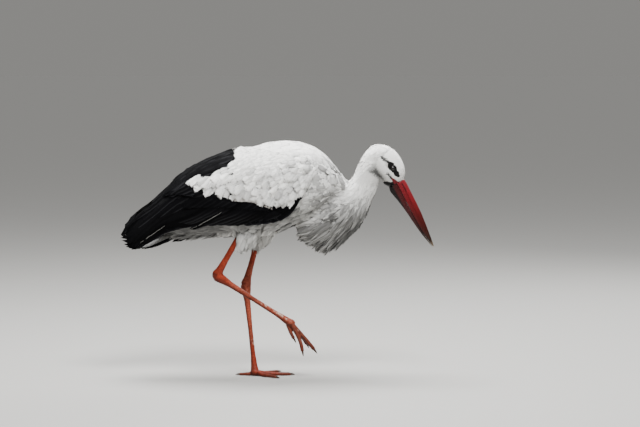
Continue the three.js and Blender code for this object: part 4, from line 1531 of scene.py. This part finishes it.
def quill(side, root, tip, width, layer, seed, bow=0.0, steps=18, inner=False, tone=1.0, shaft=0.0, lead=0.38,
          blunt=2.6, worn=0.35, lift=0.0):
    """One long wing feather, from root to tip in (x, height) of the folded wing, layer mm under its surface.

    Its lower vane stands out over the feather below it, as on a folded wing.
    """
    random = np.random.default_rng(seed)
    out = SIDES[side]
    facing_out = -1 if inner else 1
    t = np.linspace(0, 1, steps + 1)
    x = wing_x(side, root[0] + (tip[0] - root[0]) * t)
    z = wing_z(side, x, root[1] + (tip[1] - root[1]) * t + bow * np.sin(math.pi * t))
    line = np.stack([x, z], axis=1)
    forward = unit(np.gradient(line, axis=0))
    upward = np.stack([forward[:, 1], -forward[:, 0]], axis=1)
    swell = 0.5 + 0.5 * np.minimum(1, t * 3) ** 0.7
    close = np.sqrt(np.clip(1 - np.clip((t - 0.62) / 0.38, 0, 1) ** blunt, 0, 1))
    half = width / 2 * swell * np.maximum(close, 0.03)
    u = QUILL_COLUMNS
    share = np.where(u < 0, 2 * lead, 2 * (1 - lead))
    flat = line[:, None] + upward[:, None] * (u * share)[None, :, None] * half[:, None, None]
    lag = np.abs(u) ** 2 * width * 0.3
    flat = flat - forward[:, None] * (lag[None, :, None] * (t**3)[:, None, None])
    nick = random.normal(0, 0.4, flat.shape[:2]) * (np.abs(u)[None] > 0.9) * (t[:, None] > 0.3)
    flat = flat + upward[:, None] * nick[..., None]
    flat[..., 1] = np.minimum(flat[..., 1], wing_z(side, flat[..., 0], 1.0) - 1.5)
    far_out = np.full(flat.shape[:2], -out * 200.0 if inner else out * 300.0)
    start = np.stack([flat[..., 0], far_out, flat[..., 1]], axis=2).reshape(-1, 3) * MM
    found, normals, missed = WING[side].cast(start, (0.0, -out * facing_out, 0.0))
    if missed.any():
        middle = start[missed]
        middle[:, 1] = out * 0.04
        near, near_normals, _ = WING[side].snap(middle)
        over_top = (middle[:, 2] / MM > wing_z(side, middle[:, 0] / MM, 0.5))[:, None]
        found[missed] = np.where(over_top, near, np.stack([middle[:, 0], near[:, 1], middle[:, 2]], axis=1))
        normals[missed] = unit(near_normals * np.where(over_top, 1.0, 0.2) + np.array([0, out * facing_out, 0]))
    ridge = np.exp(-((u / 0.09) ** 2)) * 0.5
    sag = -np.abs(u) ** 2 * width * 0.03
    slope = -u * width * 0.045
    taper = np.minimum(1, (1 - t) * 6 + 0.15)[:, None]
    height = (ridge + sag + slope)[None] * taper - layer + (lift * t**3 - smooth(0.4, 0.0, t))[:, None]
    into_white = FLIGHTS[side].distance(found) - COVERTS[side].distance(found)
    height = height - 3.2 * smooth(-5, 3, into_white / MM).reshape(height.shape)
    places = found + normals * (height.reshape(-1, 1) * MM)
    quads = grid_quads(steps + 1, len(u))
    facing = np.cross(places[quads[:, 1]] - places[quads[:, 0]], places[quads[:, 3]] - places[quads[:, 0]])
    if facing[:, 1].sum() * out * facing_out < 0:
        quads = quads[:, ::-1]
    long = np.linalg.norm(np.diff(line, axis=0), axis=1).sum()
    along = np.repeat(t, len(u))
    across = np.tile(u, steps + 1)
    vane = np.stack([across * width / 20, along * long / 10], axis=1)
    # the outer edge of the lower vane is lightened grey: partly wear, partly a painted sheen where it catches
    # light
    look = (tone, along, (across < -0.9) * worn * smooth(0.2, 0.6, along), shaft)
    return feather_block(places, quads, SKIN_MAP.unwrapped(places[:1]), across, along, vane, look)


def between(first, last, count):
    """Evenly spaced pairs from first to last."""
    first, last = np.array(first), np.array(last)
    return [tuple(first + (last - first) * k / (count - 1)) for k in range(count)]


# Places on the folded wing are (x, height), with height 0 on its lower edge and 1 on its top edge.
PRIMARY_TIPS = [(-309, 0.85), (-309.5, 0.52), (-307, 0.28), (-304, 0.10), (-300, -0.02), (-295, -0.06),
                (-289, -0.09), (-282, -0.12), (-273, -0.12), (-262, -0.10), (-248, -0.07)]
TERTIAL_TIPS = [(-150, 0.52), (-168, 0.58), (-184, 0.64), (-197, 0.71), (-208, 0.78), (-212, 0.84)]
# Root, tip, width and layer of two feathers that show a pale shaft, near the wing's lower edge
SHOWN_SHAFTS = [((-74, 0.20), (-148, -0.02), 14, 0.5), ((-203, 0.11), (-277, 0.00), 12, -2.8)]
# Root and tip of the left wing's outer feathers, which hang lower and show under the tail
LOW_EDGE = [((-40, 0.10), (-130, -0.08)), ((-60, 0.10), (-168, -0.11)), ((-80, 0.08), (-205, -0.12))]


def flight_feathers(side):
    """All the long black feathers of a folded wing, from the primaries at its tip to the tertials on top."""
    random = np.random.default_rng(91)
    blocks = []

    def lay(roots, tips, width, top_layer, step, pale=0.0, **how):
        for k, (root, tip) in enumerate(zip(roots, tips)):
            tone = random.uniform(0.7, 1.9)
            shaft = 0.75 * (random.uniform() < pale)
            seed = int(random.integers(1, 10000))
            blocks.append(quill(side, root, tip, width * random.uniform(0.94, 1.06), top_layer + step * k, seed,
                                tone=tone, shaft=shaft, **how))

    for inner in (False, True):
        # primaries: long, narrow, their tips close together at the wing's end
        count = len(PRIMARY_TIPS)
        lay(between((-70, 0.80), (-30, 0.16), count), PRIMARY_TIPS, 22, 3.0, 0.17, bow=0.04, inner=inner,
            blunt=2.8)
        # secondaries: broad, ending one behind the other along the lower edge
        lay(between((-45, 0.50), (100, 0.10), 15), between((-236, 0.06), (42, 0.02), 15), 31, 1.5, 0.10,
            bow=-0.03, inner=inner)
    # greater coverts: shorter, rounded, over the quills of the secondaries
    lay(between((-70, 0.60), (104, 0.34), 14), between((-165, 0.34), (66, 0.10), 14), 27, 0.9, 0.05, steps=12,
        blunt=2.0, worn=0.10)
    # the dark rim in front of them, under the wing's leading coverts, partly standing in for the shade they
    # cast
    lay(between((70, 0.10), (138, 0.16), 7), between((18, 0.03), (104, 0.03), 7), 15, 0.6, 0.04, steps=10,
        blunt=2.0)
    # tertials: long and broad, towards the top edge, their tips standing off the primaries
    lay(between((-60, 0.58), (-45, 0.90), len(TERTIAL_TIPS)), TERTIAL_TIPS, 30, 0.9, -0.12, bow=0.02, lift=0.8)
    for root, tip, width, layer in SHOWN_SHAFTS:
        lay([root], [tip], width, layer, 0, pale=1.0, steps=14, lead=0.5, worn=0.2)
    if side == "left":
        for root, tip in LOW_EDGE:
            lay([root], [tip], 18, 2.2, 0, steps=14)
    replaced = [f"wing_{side}_flight"]
    build_feathers(f"wing_{side}_flight_feathers", blocks, BLACK_PLUMAGE, replaced)


STANDS_OFF = 3.4


def drop_lifted(block, shape, shape_quads):
    """Drops whole the feathers of a block that stand off the bird, where it curves away under them."""
    corners = len(shape)
    lifted = WHOLE.distance(block["vertices"]).reshape(-1, corners).max(axis=1) >= STANDS_OFF * MM
    for layer in ("vertices", "Vane", "OFBake", "Look"):
        rows = block[layer].reshape(len(lifted), corners, -1)[~lifted]
        block[layer] = rows.reshape(-1, rows.shape[-1])
    block["quads"] = block["quads"][: (~lifted).sum() * len(shape_quads)]


def scapulars():
    """Broad black feathers behind the white mantle, over the top edges of both wings and the rump."""

    def keep(points):
        x, y, z = points.T / MM
        floor = np.where(y < 0, wing_z("right", x, 0.74), wing_z("left", x, 0.74))
        return (x < -38 + 4 * waviness(points, 9 * MM, 47)) & (x > -166) & (z > floor)

    roots = scatter(WHOLE, 9.0, keep, 19)
    x = roots[:, 0] / MM
    shapes = [vane_shape(10, 7, seed) for seed in range(70, 76)]
    random = np.random.default_rng(6)
    length = 48 - 10 * smooth(-140, -180, x)
    tone = random.uniform(0.6, 1.7, len(roots))
    blocks = grow(WHOLE, roots, body_lie, shapes, 39, length=length, width=21.0, depth=2.0, lift=0.0, tone=tone,
                  stations=8, wander=0.04, roll=0.03, level=0.3, edge=0.5)
    for block in blocks:
        drop_lifted(block, *shapes[0])
    build_feathers("coat_scapulars", blocks, BLACK_PLUMAGE, ["trunk"])


def covert_coat(side):
    """The white coverts: short, loose and split at their tips, larger along the border with the black."""
    out = SIDES[side]
    white = COVERTS[side]
    black = FLIGHTS[side]

    def keep(points):
        near = (points[:, 1] * out > 0.006) & (points[:, 0] > -0.16)
        index = np.flatnonzero(near)
        near[index] = white.distance(points[index]) < black.distance(points[index])
        return near

    def spacing(points):
        return 6.2 - 1.4 * smooth(26, 10, black.distance(points) / MM)

    roots = scatter(WING[side], 4.8, keep, 18, spacing)
    ahead = roots + wing_lie(roots) * 0.023
    roots = roots[(white.distance(ahead) <= black.distance(ahead)) & (dark_edge(side, ahead) < 0.5)]
    x, _, z = roots.T / MM
    low = smooth(28, 8, black.distance(roots) / MM) * smooth(495, 475, z)
    calm = smooth(476, 494, z) * smooth(85, 60, x)
    front = smooth(40, 100, x) * smooth(500, 480, z)
    random = np.random.default_rng(8)
    length = (22 + 9 * low) * random.uniform(0.85, 1.18, len(roots))
    shapes = [barbed_shape(13, seed, vee=0.28, droop=0.3, rag=0.11) for seed in range(60, 68)]
    # a little brighter where the coat lies calm on top: painted light
    tone = 1.02 + 0.14 * waviness(roots, 11 * MM, 27) * (1 - calm) + 0.05 * calm
    uneven = 2.4 * waviness(roots, 14 * MM, 48) + 1.4 * waviness(roots, 7 * MM, 49)
    heave = (1 - 0.85 * calm) * uneven + 0.8 * front + 0.5 * low
    blocks = grow(WHOLE, roots, wing_lie, shapes, 38, length=length, width=14 + low, depth=2.2 - 1.6 * low,
                  lift=0.6 + (1.8 + 1.4 * low) * (1 - calm), tone=tone, wander=0.22 - 0.14 * calm,
                  roll=0.16 - 0.1 * calm, level=0.8, heave=heave,
                  locks=(12.0, 0.4, 1.1 - 0.7 * calm, 0.36 - 0.26 * calm))
    build_feathers(f"coat_wing_{side}", blocks, WHITE_PLUMAGE, [f"wing_{side}_coverts"])


for side in SIDES:
    flight_feathers(side)
    covert_coat(side)
scapulars()

# ---------------------------------------------------------------- tail

TAIL_ROOT = np.array([-138.0, 0.0, 359.0]) * MM
TAIL_PITCH = math.radians(25.5)
TAIL_LENGTH = 142.0
TAIL_HALF = 44.0
TAIL_FEATHERS = 12
TAIL_TUCK = 0.55  # the left half is drawn in under the left wing, which hangs lower
TAIL_ARCH = 1.5  # how much lower the outer feathers lie than the middle ones


def tail_feathers():
    """A fan of broad white feathers, folded nearly flat."""
    back = np.array([-math.cos(TAIL_PITCH), 0.0, -math.sin(TAIL_PITCH)])
    up = np.array([-math.sin(TAIL_PITCH), 0.0, math.cos(TAIL_PITCH)])
    blocks = []
    for k in range(TAIL_FEATHERS):
        shape, quads = vane_shape(16, 9, 80 + k, vee=0.05, blunt=3.0, root=0.5, ragged=0.03)
        spread = 2 * k / (TAIL_FEATHERS - 1) - 1
        spread *= 1.0 if spread < 0 else TAIL_TUCK
        way = unit(back + np.array([0, spread * 0.20, 0]))
        tilt = unit(up + np.array([0, spread * 0.45, 0]))
        side = unit(np.cross(way, tilt))
        root = TAIL_ROOT + np.array([0, spread * (TAIL_HALF - 34) * MM, 0]) + back * 10 * MM
        long = TAIL_LENGTH - 12 - 6 * abs(spread)
        along, across, rise = shape.T
        layer = 1.0 - 1.6 * abs(spread) - TAIL_ARCH * spread**2 * along
        places = root + way * (along * long * MM)[:, None] + side * (across * 12.5 * MM)[:, None]
        places = places + tilt * ((rise * 12 + layer) * MM)[:, None]
        vane = np.stack([across * 1.2, along * long / 10], axis=1)
        # the tail's feathers toned down to grey: painted shade, as the tail's underside shows in shade
        look = (0.62 + 0.10 * (k % 2), 0.5 + 0.3 * along, 0.0, 1.0)
        blocks.append(feather_block(places, quads, SKIN_MAP.unwrapped(root[None]), across, along, vane, look))
    build_feathers("tail_feathers", blocks, WHITE_PLUMAGE, ["tail"])


tail_feathers()

# ---------------------------------------------------------------- bill


def put_lines(mesh, across, along):
    """A map that runs along a horn, in centimetres, for its growth lines."""
    layer = mesh.uv_layers.new(name="Lines")
    corners = np.empty(len(mesh.loops), dtype=np.int32)
    mesh.loops.foreach_get("vertex_index", corners)
    values = np.stack([across, along], axis=1)[corners]
    layer.data.foreach_set("uv", values.astype(np.float32).ravel())


def blend_stops(value, stops):
    """Colours for values, between (value, hex) stops."""
    keys = [stop[0] for stop in stops]
    shades = np.array([linear(stop[1]) for stop in stops])
    return np.stack([np.interp(value, keys, shades[:, c]) for c in range(4)], axis=1)


# Millimetres ahead of the bill's base, and the colour there
UPPER_BILL = [(0, BILL_RED), (50, BILL_WINE), (90, BILL_MAROON), (130, BILL_BROWN), (156, BILL_DUSK),
              (170, BILL_TAN), (175, BILL_PALE)]
# the lower half is kept darker than the upper, partly painted shade on its underside
LOWER_BILL = [(0, JAW_DEEP), (30, JAW_RED), (95, JAW_MAROON), (136, JAW_DUSK), (168, JAW_TAN), (174, BILL_PALE)]


def fuller(points):
    """The bill made a tenth deeper than its plain form, and deeper still under its base."""
    back, up, _ = head_place(points)
    deeper = up * 0.10 * smooth(-4, 16, -back)
    deeper += np.minimum(up, 0) * 0.16 * smooth(85, 15, -back) * smooth(-2, 14, -back)
    return points + BROW_LINE * (deeper * MM)[:, None]


def bill(name, stops):
    """One half of the bill; the upper one has the nostril's slit and the groove ahead of it, darkened as
    painted shade, and a painted highlight along the culmen.
    """
    horn = merged_copy(f"{name}_horn", [name])
    remeshed(horn, 0.7 * MM, 4)
    mesh = horn.data
    points = fuller(positions(mesh))
    move_vertices(mesh, points)
    back, up, out = head_place(points)
    ahead = -back
    colours = blend_stops(ahead, stops)
    if name == "bill_upper":
        slit = np.exp(-(((up - 11.0 + (ahead - 20) * 0.06) / 1.0) ** 2)) * smooth(8, 12, ahead)
        slit = slit * smooth(34, 28, ahead)
        groove = np.exp(-(((up - 9.8 + (ahead - 24) * 0.07) / 1.3) ** 2)) * smooth(4, 12, ahead)
        groove = groove * (1 - smooth(55, 75, ahead))
        sink = (slit * 0.9 + groove * 0.35) * smooth(2, 5, out)
        points = points - vertex_normals(mesh) * (sink * MM)[:, None]
        move_vertices(mesh, points)
        # painted highlight along the culmen, and painted shade in the slit and the groove
        culmen = smooth(10.0, 13.5, up + ahead * 0.06) * smooth(120, 70, ahead)
        colours = colours * ((1 - 0.8 * slit) * (1 - 0.40 * groove) * (1 + 0.30 * culmen))[:, None]
    else:
        # black along the lower edge near the base, deepened as painted shade under the bill
        black_base_and_shade = smooth(-9.0, -12.5, up + ahead * 0.03) * smooth(75, 45, ahead)
        colours = colours * (1 - 0.93 * black_base_and_shade[:, None])
    colours[:, 3] = 1
    put_colours(mesh, "Markings", colours)
    put_lines(mesh, np.arctan2(up, out) / 3, ahead / 10)
    shade_smooth(mesh)
    mesh.materials.append(BILL_HORN)
    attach(horn, "root")
    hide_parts(name)


def skin_like(mesh):
    """A black piece that becomes part of the skin."""
    put_colours(mesh, "Markings", np.tile(linear(MASK_BLACK), (len(mesh.vertices), 1)))
    mesh.materials.append(SKIN)


LINING_STEP = 6.0
LINING_NEAR = 110  # how many of the lower bill's vertices say how high and wide it is at a station


def evened(values):
    """Values in a row, each the mean of five."""
    return np.convolve(np.pad(values, 2, mode="edge"), np.ones(5) / 5, mode="valid")


def mouth_lining():
    """The dark soft edge between the two halves of the bill, just inside them."""
    back, up, out = head_place(fuller(positions(nodes["bill_lower"].data)))
    stations = np.arange(-14.0, 166.0, LINING_STEP)
    tops, halves = [], []
    for station in stations:
        near = np.argsort(np.abs(-back - station))[:LINING_NEAR]
        tops.append(up[near].max())
        halves.append(out[near].max() * (0.955 - 0.05 * smooth(26, 8, station)))
    lining = bmesh.new()
    rows = []
    for station, top, half in zip(stations, evened(tops), np.minimum(evened(halves), halves)):
        row = []
        rise = 1.0 + 1.8 * smooth(150, 90, station)
        for height, narrow in ((top - 0.8, 1.0), (top + rise, 0.95)):
            for out_by in (-half * narrow, half * narrow):
                row.append(lining.verts.new(head_point(-station, height, out_by)))
        rows.append(row)
    for first, second in zip(rows, rows[1:]):
        for a, b in ((0, 1), (1, 3), (3, 2), (2, 0)):
            lining.faces.new((first[a], first[b], second[b], second[a]))
    for row in (rows[0], rows[-1]):
        lining.faces.new((row[0], row[1], row[3], row[2]))
    bmesh.ops.recalc_face_normals(lining, faces=lining.faces)
    obj = object_of("mouth_lining", lining)
    skin_like(obj.data)
    return obj


bill("bill_upper", UPPER_BILL)
bill("bill_lower", LOWER_BILL)

# ---------------------------------------------------------------- eyes and lids


# Millimetres from the middle of the pupil, and the colour there
IRIS_RINGS = [(0, PUPIL_BLACK), (2.3, PUPIL_BLACK), (2.6, IRIS_BROWN), (4.3, IRIS_BROWN), (4.8, PUPIL_BLACK),
              (9, PUPIL_BLACK)]


def eye(side):
    """A ball with a cornea that bulges a little, set where the lids leave it open."""
    out = SIDES[side]
    centre = head_point(EYE_BACK, EYE_UP, EYE_OUT * out)
    deselect()
    bpy.ops.mesh.primitive_uv_sphere_add(segments=48, ring_count=32, radius=EYE_RADIUS * 0.97 * MM,
                                         location=(0, 0, 0), rotation=(-out * math.pi / 2, 0, 0))
    ball = bpy.context.object
    bpy.ops.object.transform_apply(rotation=True)
    ball.name = f"eyeball_{side}"
    mesh = ball.data
    points = positions(mesh)
    away = np.hypot(points[:, 0], points[:, 2]) / MM
    front = points[:, 1] * out > 0
    bulge = np.exp(-((away / 4.2) ** 2)) * 0.5 * front
    points[:, 1] += out * bulge * MM
    move_vertices(mesh, points + centre)
    put_colours(mesh, "Markings", blend_stops(away, IRIS_RINGS))
    shade_smooth(mesh)
    mesh.materials.append(EYE)
    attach(ball, "root")
    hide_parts(f"eye_{side}")


LID_RINGS = [
    # size against the opening, radius round the eyeball's centre, share of that height, height over the skin
    (0.95, 6.45, 1.0, 0.0),
    (0.99, 6.95, 1.0, 0.0),
    (1.07, 7.15, 1.0, 0.0),
    (1.18, 7.05, 0.85, 0.5),
    (1.32, 6.9, 0.45, 0.5),
    (1.48, 6.9, 0.0, 0.55),
    (1.62, 6.9, 0.0, 0.10),
    (1.80, 6.9, 0.0, 0.40),
    (2.05, 6.9, 0.0, 0.10),
    (2.30, 6.9, 0.0, -0.5),
]
LID_OPENING = (5.3, 4.3)
LID_TURNS = 56


def eyelids(side):
    """Upper and lower lids as one soft almond rim that lies on the eyeball and runs into the bare skin."""
    out = SIDES[side]
    centre = head_point(EYE_BACK, EYE_UP, EYE_OUT * out)
    turns = np.linspace(0, math.tau, LID_TURNS, endpoint=False)
    face = Shell(skin)
    rim = bmesh.new()
    rings = []
    for size, radius, share, over in LID_RINGS:
        forward = LID_OPENING[0] * np.cos(turns) * size
        upward = LID_OPENING[1] * np.sin(turns) * (1 - 0.12 * np.cos(turns)) * size
        upward = np.where(upward > 0, upward * 0.94, upward)
        flat = centre + MM * (forward[:, None] * BILL_LINE + upward[:, None] * BROW_LINE)
        start = flat + np.array([0, out * 0.03, 0])
        found, _, _ = face.cast(start, (0.0, -out, 0.0))
        on_skin = found[:, 1] * out / MM + over
        away = np.minimum(np.hypot(forward, upward), radius - 0.05)
        on_ball = EYE_OUT + np.sqrt(radius**2 - away**2)
        height = on_ball * share + np.minimum(on_skin, 30) * (1 - share)
        places = np.stack([flat[:, 0], out * height * MM, flat[:, 2]], axis=1)
        rings.append([rim.verts.new(place) for place in places])
    for inner_ring, outer_ring in zip(rings, rings[1:]):
        for k in range(LID_TURNS):
            n = (k + 1) % LID_TURNS
            corners = (inner_ring[k], inner_ring[n], outer_ring[n], outer_ring[k])
            rim.faces.new(corners if out < 0 else corners[::-1])
    obj = object_of(f"eyelids_{side}", rim)
    apply(obj, "SUBSURF", levels=1, render_levels=1)
    skin_like(obj.data)
    shade_smooth(obj.data)
    return obj


def join_to_skin(pieces):
    """The lids and the edge of the mouth become part of the one skin, on the unwrap where they meet it."""
    for piece in pieces:
        mesh = piece.data
        corners = np.empty(len(mesh.loops), dtype=np.int32)
        mesh.loops.foreach_get("vertex_index", corners)
        bake = SKIN_MAP.unwrapped(positions(mesh))[corners]
        mesh.uv_layers.new(name="OFBake").data.foreach_set("uv", bake.astype(np.float32).ravel())
    join("skin", [skin, *pieces])


for side in SIDES:
    eye(side)
join_to_skin([mouth_lining(), *[eyelids(side) for side in SIDES]])

# ---------------------------------------------------------------- claws


def claws():
    """All the claws, as one piece."""
    names = [f"claw_{toe}_{side}" for side in SIDES for toe in TOES]
    horn = merged_copy("claws", names)
    remeshed(horn, 0.45 * MM, 2)
    mesh = horn.data
    points = positions(mesh)
    put_colours(mesh, "Markings", np.tile(linear(HORN_BROWN), (len(points), 1)))
    put_lines(mesh, points[:, 1] * 100, points[:, 0] * 100)
    shade_smooth(mesh)
    mesh.materials.append(CLAW_HORN)
    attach(horn, "root")
    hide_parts(*names)


claws()

# ---------------------------------------------------------------- clear away the working shells

for shell in working_shells:
    bpy.data.objects.remove(shell)
